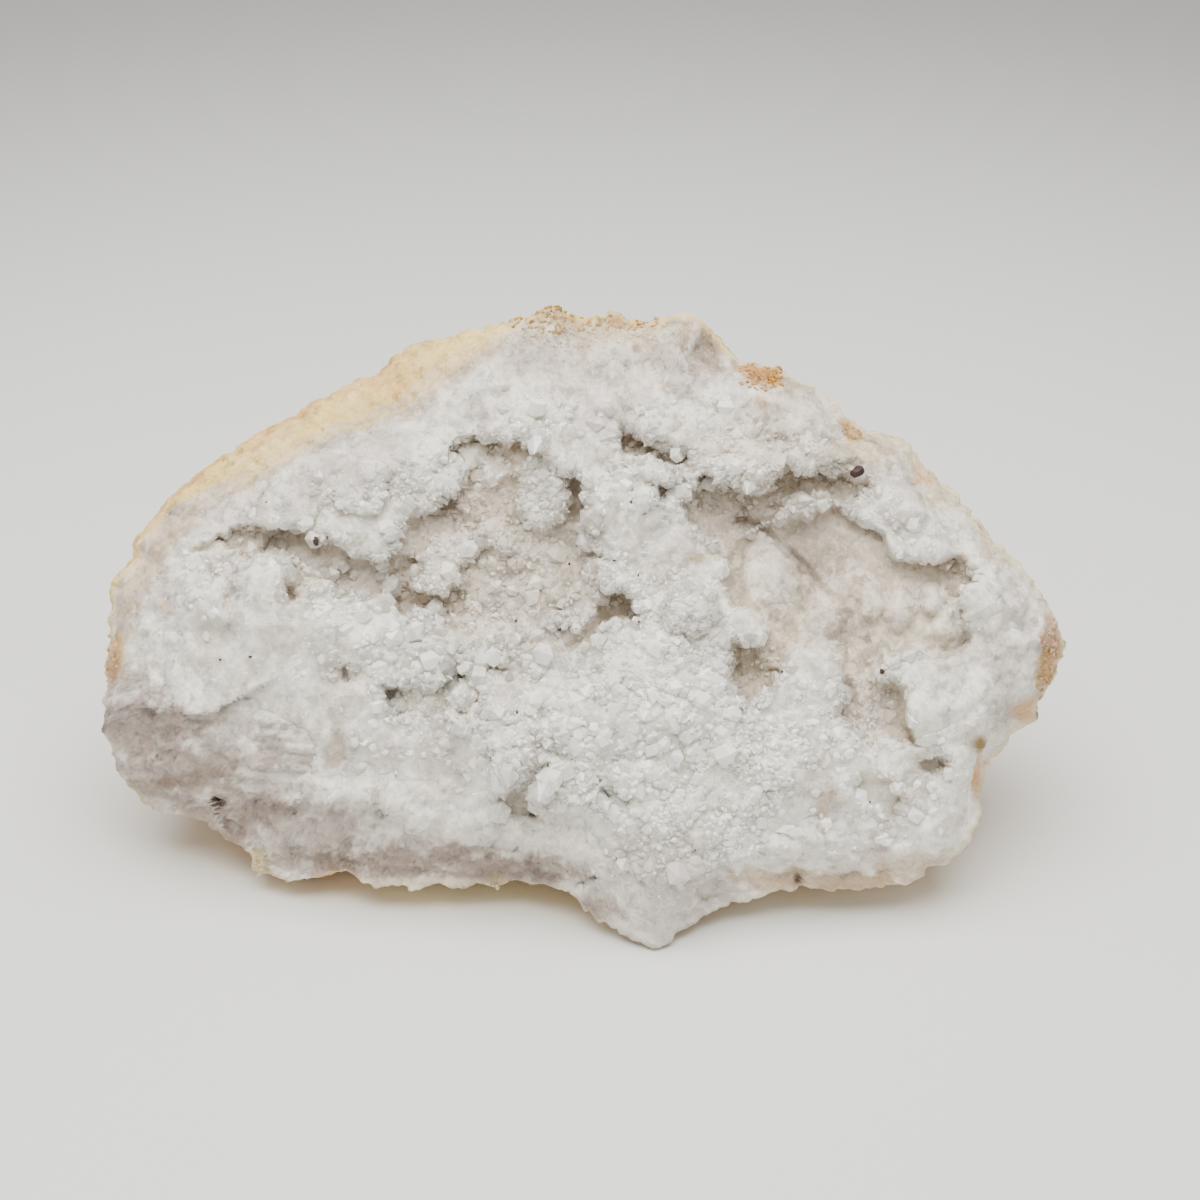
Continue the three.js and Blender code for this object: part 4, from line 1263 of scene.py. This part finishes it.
def makeCrystals():
    s = crystalShape
    sites = crystalSites()
    made = [shapeCrystals(chosenSites(sites, kind["cell"], kind["most"]), kind) for kind in s["kinds"]]
    made = np.concatenate(made)
    made = made[np.argsort(made[:, 0])]
    pieces = []
    for n, start in enumerate(range(0, len(made), s["perPiece"])):
        pieces.append(growCrystals(f"crystals{n + 1}", made[start : start + s["perPiece"]]))
    x, y, across, up, radius, length, milk = np.array(largeCrystals).T
    lean = np.column_stack([across, up, np.ones(len(x))])
    lean /= np.linalg.norm(lean, axis=1)[:, None]
    roots = seenAt(x, y, bedTop(x, y)) - lean * (length * s["largeSunk"])[:, None]
    colours = np.repeat(s["largeColour"][None], len(x), axis=0)
    table = np.column_stack([roots, lean, radius, length, milk, colours])
    pieces.append(growCrystals("largeCrystals", table))
    return pieces


crystals = makeCrystals()
print("crystals made", sum(len(c.data.vertices) for c in crystals) // len(crystalTemplate()))


def frontOf(trees, x, y):
    # the nearest point of the pieces on the line of sight through a point of the face
    eye = toWorld(np.array([[sightPoint[0], sightPoint[1], sightDistance]]))[0]
    target = toWorld(np.array([[x, y, 0.0]]))[0]
    ray = Vector(target - eye).normalized()
    best = None
    for tree in trees:
        hit, _, _, distance = tree.ray_cast(Vector(eye), ray)
        if hit is not None and (best is None or distance < best[1]):
            best = (hit, distance)
    return None if best is None else np.array(best[0]), np.array(ray)


def roughStone(unit, halfSizes, turn, seed, roughness):
    # an angular grain from a ball
    shape = unit * (1 + roughness * smooth(unit + seed * 2.3, 0.7, seed % 50)[:, None])
    shape = shape * halfSizes
    c, si = math.cos(turn), math.sin(turn)
    return shape @ np.array([[c, si, 0], [-si, c, 0], [0, 0, 1]])


def treesOf(pieces):
    depsgraph = bpy.context.evaluated_depsgraph_get()
    return [BVHTree.FromObject(piece, depsgraph) for piece in pieces]


surfaces = treesOf((bed, rock, *crystals))

# loose-looking crumbs of rind on the rim: x, y, half width, half height, number, colour
crumbs = {
    "size": (0.2, 0.5),
    "shade": (0.8, 1.15),
    "roughness": 0.7,
    "patches": [
        (0, 53.4, 13, 2.4, 190, "ochre"), (2, 51.5, 14, 3, 90, "cream"),
        (-8, 53.6, 6, 1.8, 60, "creamYellow"), (11, 53.4, 2.6, 1.6, 16, "rust"),
        (30, 44, 4, 2.6, 60, "ochre"), (32, 43.4, 2, 1.4, 26, "orange"),
        (-54, -37.2, 2.4, 2.6, 70, "creamYellow"), (79.2, -2, 2, 6, 60, "edgeBrown"),
        (78, -6, 2.2, 5, 50, "ochre"), (45.6, 34.8, 1.9, 1.6, 16, "ochre"),
        (-14, -40.3, 0.9, 1, 8, "creamYellow"), (-78.2, -3, 1.6, 4.6, 24, "ochre"),
    ],
}


def makeCrumbs():
    unit, tris = ballOf(1)
    points, faces, colours = [], [], []
    count = 0
    for cx, cy, halfWidth, halfHeight, number, name in crumbs["patches"]:
        for n in range(number):
            reach, turn = math.sqrt(rng.random()), rng.uniform(0, 2 * math.pi)
            x, y = cx + halfWidth * reach * math.cos(turn), cy + halfHeight * reach * math.sin(turn)
            halfSizes = rng.uniform(*crumbs["size"]) * rng.uniform(0.7, 1.2, 3)
            shade = rng.uniform(*crumbs["shade"])
            hit, ray = frontOf(surfaces, x, y)
            if hit is None:
                continue
            place = toFace(hit[None] + ray[None] * halfSizes.mean() * 0.0003)
            points.append(place + roughStone(unit, halfSizes, turn, n, crumbs["roughness"]))
            faces.append(tris + count)
            colours.append(np.repeat(quartzColours[name][None] * shade, len(unit), axis=0))
            count += len(unit)
    mesh = makeMesh("crumbs", toWorld(np.concatenate(points)), faces)
    setPoints(mesh, toWorld(np.concatenate(points)))
    setTint(mesh, np.clip(np.concatenate(colours), 0, 1))
    setValue(mesh, "rind", np.ones(count))
    setShading(mesh, False)
    return addPiece("crumbs", mesh, stone, "rock_shell")


crumbPiece = makeCrumbs()
print("crumbs made", len(crumbPiece.data.polygons), "faces")

# dark chips and specks of dirt on the crystals: x, y, half width, half height, turn
dirt = {
    "colour": srgb(44, 24, 19),
    "roughness": 0.6,
    "fleckSize": 0.0004,
    "chips": [
        (46.2, 28, 1.35, 1, 0.6), (-44, 16.5, 0.5, 0.9, 0.1), (50.3, -5.3, 0.4, 0.5, 0.2),
        (-55, -2.8, 0.3, 0.2, 0), (-60, -3.3, 0.22, 0.2, 0.5), (-52.3, 23, 0.2, 0.15, 0),
        (-3.2, 1.8, 0.35, 0.2, 0.3), (-10.5, -12, 0.2, 0.3, 0), (-1.8, 12.7, 0.2, 0.2, 0),
        (5.7, 13.3, 0.25, 0.2, 0), (9.7, 10.8, 0.2, 0.2, 0), (8.5, 23, 0.2, 0.3, 0),
        (-10.7, 3.2, 0.25, 0.2, 0), (48.3, -27, 0.2, 0.2, 0), (19.2, -35, 0.15, 0.15, 0),
        (33.7, -5.3, 0.2, 0.25, 0), (9.8, 3, 0.2, 0.2, 0),
    ],
}


def makeDirt():
    unit, tris = ballOf(2)
    points, faces = [], []
    for seed, (x, y, halfWidth, halfHeight, turn) in enumerate(dirt["chips"]):
        halfSizes = [halfWidth, halfHeight, min(halfWidth, halfHeight) * 0.7]
        hit, ray = frontOf(surfaces, x, y)
        place = toFace(hit[None] - ray[None] * 0.0002)
        points.append(place + roughStone(unit, halfSizes, turn, seed, 0.35))
        faces.append(tris + seed * len(unit))
    mesh = makeMesh("dirt", toWorld(np.concatenate(points)), faces)
    setShading(mesh, False)
    material, tree, shader, _ = newMaterial("dirt")
    fleck = noiseOf(tree, objectPlace(tree), dirt["fleckSize"], 2)
    ends = {"Color1": (*dirt["colour"], 1), "Color2": (*(dirt["colour"] * 1.8), 1)}
    tree.links.new(linked(tree, "ShaderNodeMixRGB", [fleck], ends), shader.inputs["Base Color"])
    setInputs(shader, {"Roughness": dirt["roughness"]})
    return addPiece("dirt", mesh, material, "crystal_crust")


makeDirt()
print("dirt made")

# floor, light and camera
studio = {
    "floorColour": srgb(225, 226, 222),
    # painted shade: the floor darkens to this colour away from the stone
    "farShadeColour": srgb(158, 157, 154),
    "darkening": (0.12, 0.5),  # metres from the stone where it starts and ends
    "paperRoughness": 0.7,
    "floorReach": 9,
    "bendStart": 1.0,
    "bendRadius": 0.4,
    "worldLight": 0.74,
    "topPower": 20.0,
    "topSize": (1.0, 0.8),
    "topPlace": (-0.05, -0.14, 0.95),
    "topColour": (1, 0.985, 0.96),
    "worldColour": (1, 0.995, 0.985, 1),
    "sensor": 36,
    "lens": 72,
}


def makeFloor():
    reach = studio["floorReach"]
    profile = [(-reach, 0), (studio["bendStart"], 0)]
    radius = studio["bendRadius"]
    for k in range(1, 25):
        turn = k / 24 * math.pi / 2
        profile.append((studio["bendStart"] + radius * math.sin(turn), radius * (1 - math.cos(turn))))
    profile.append((studio["bendStart"] + radius, 1.6))
    points = [(side, y, z) for y, z in profile for side in (-reach, reach)]
    faces = np.array([(2 * k, 2 * k + 1, 2 * k + 3, 2 * k + 2) for k in range(len(profile) - 1)])
    mesh = makeMesh("floor", np.array(points), [faces])
    setShading(mesh, True)
    material, tree, shader, _ = newMaterial("paper")
    # the floor is painted darker away from the stone: painted shade where the light falls off
    away = addNode(tree, "ShaderNodeVectorMath", {}, operation="LENGTH")
    tree.links.new(objectPlace(tree), away.inputs[0])
    grey = ranged(tree, away.outputs["Value"], *studio["darkening"], interpolation_type="SMOOTHSTEP")
    ends = {"Color1": (*studio["floorColour"], 1), "Color2": (*studio["farShadeColour"], 1)}
    tree.links.new(linked(tree, "ShaderNodeMixRGB", [grey], ends), shader.inputs["Base Color"])
    setInputs(shader, {"Roughness": studio["paperRoughness"]})
    mesh.materials.append(material)
    floor = bpy.data.objects.new("floor", mesh)
    bpy.context.scene.collection.objects.link(floor)


def makeLights():
    world = bpy.data.worlds.new("studio")
    world.use_nodes = True
    background = world.node_tree.nodes["Background"]
    setInputs(background, {"Color": studio["worldColour"], "Strength": studio["worldLight"]})
    bpy.context.scene.world = world
    lamp = bpy.data.lights.new("softbox", "AREA")
    lamp.shape = "RECTANGLE"
    lamp.size, lamp.size_y = studio["topSize"]
    lamp.energy = studio["topPower"]
    lamp.color = studio["topColour"]
    box = bpy.data.objects.new("softbox", lamp)
    box.location = studio["topPlace"]
    bpy.context.scene.collection.objects.link(box)


def makeCamera():
    lens = bpy.data.cameras.new("camera")
    lens.sensor_width = studio["sensor"]
    lens.lens = studio["lens"]
    lens.clip_start = 0.01
    camera = bpy.data.objects.new("camera", lens)
    eye = toWorld(np.array([[sightPoint[0], sightPoint[1], sightDistance]]))[0]
    axes = Matrix((faceRight, faceUp, faceOut)).transposed()
    camera.matrix_world = Matrix.Translation(eye) @ axes.to_4x4()
    bpy.context.scene.collection.objects.link(camera)
    bpy.context.scene.camera = camera


makeFloor()
makeLights()
makeCamera()
print("studio made")
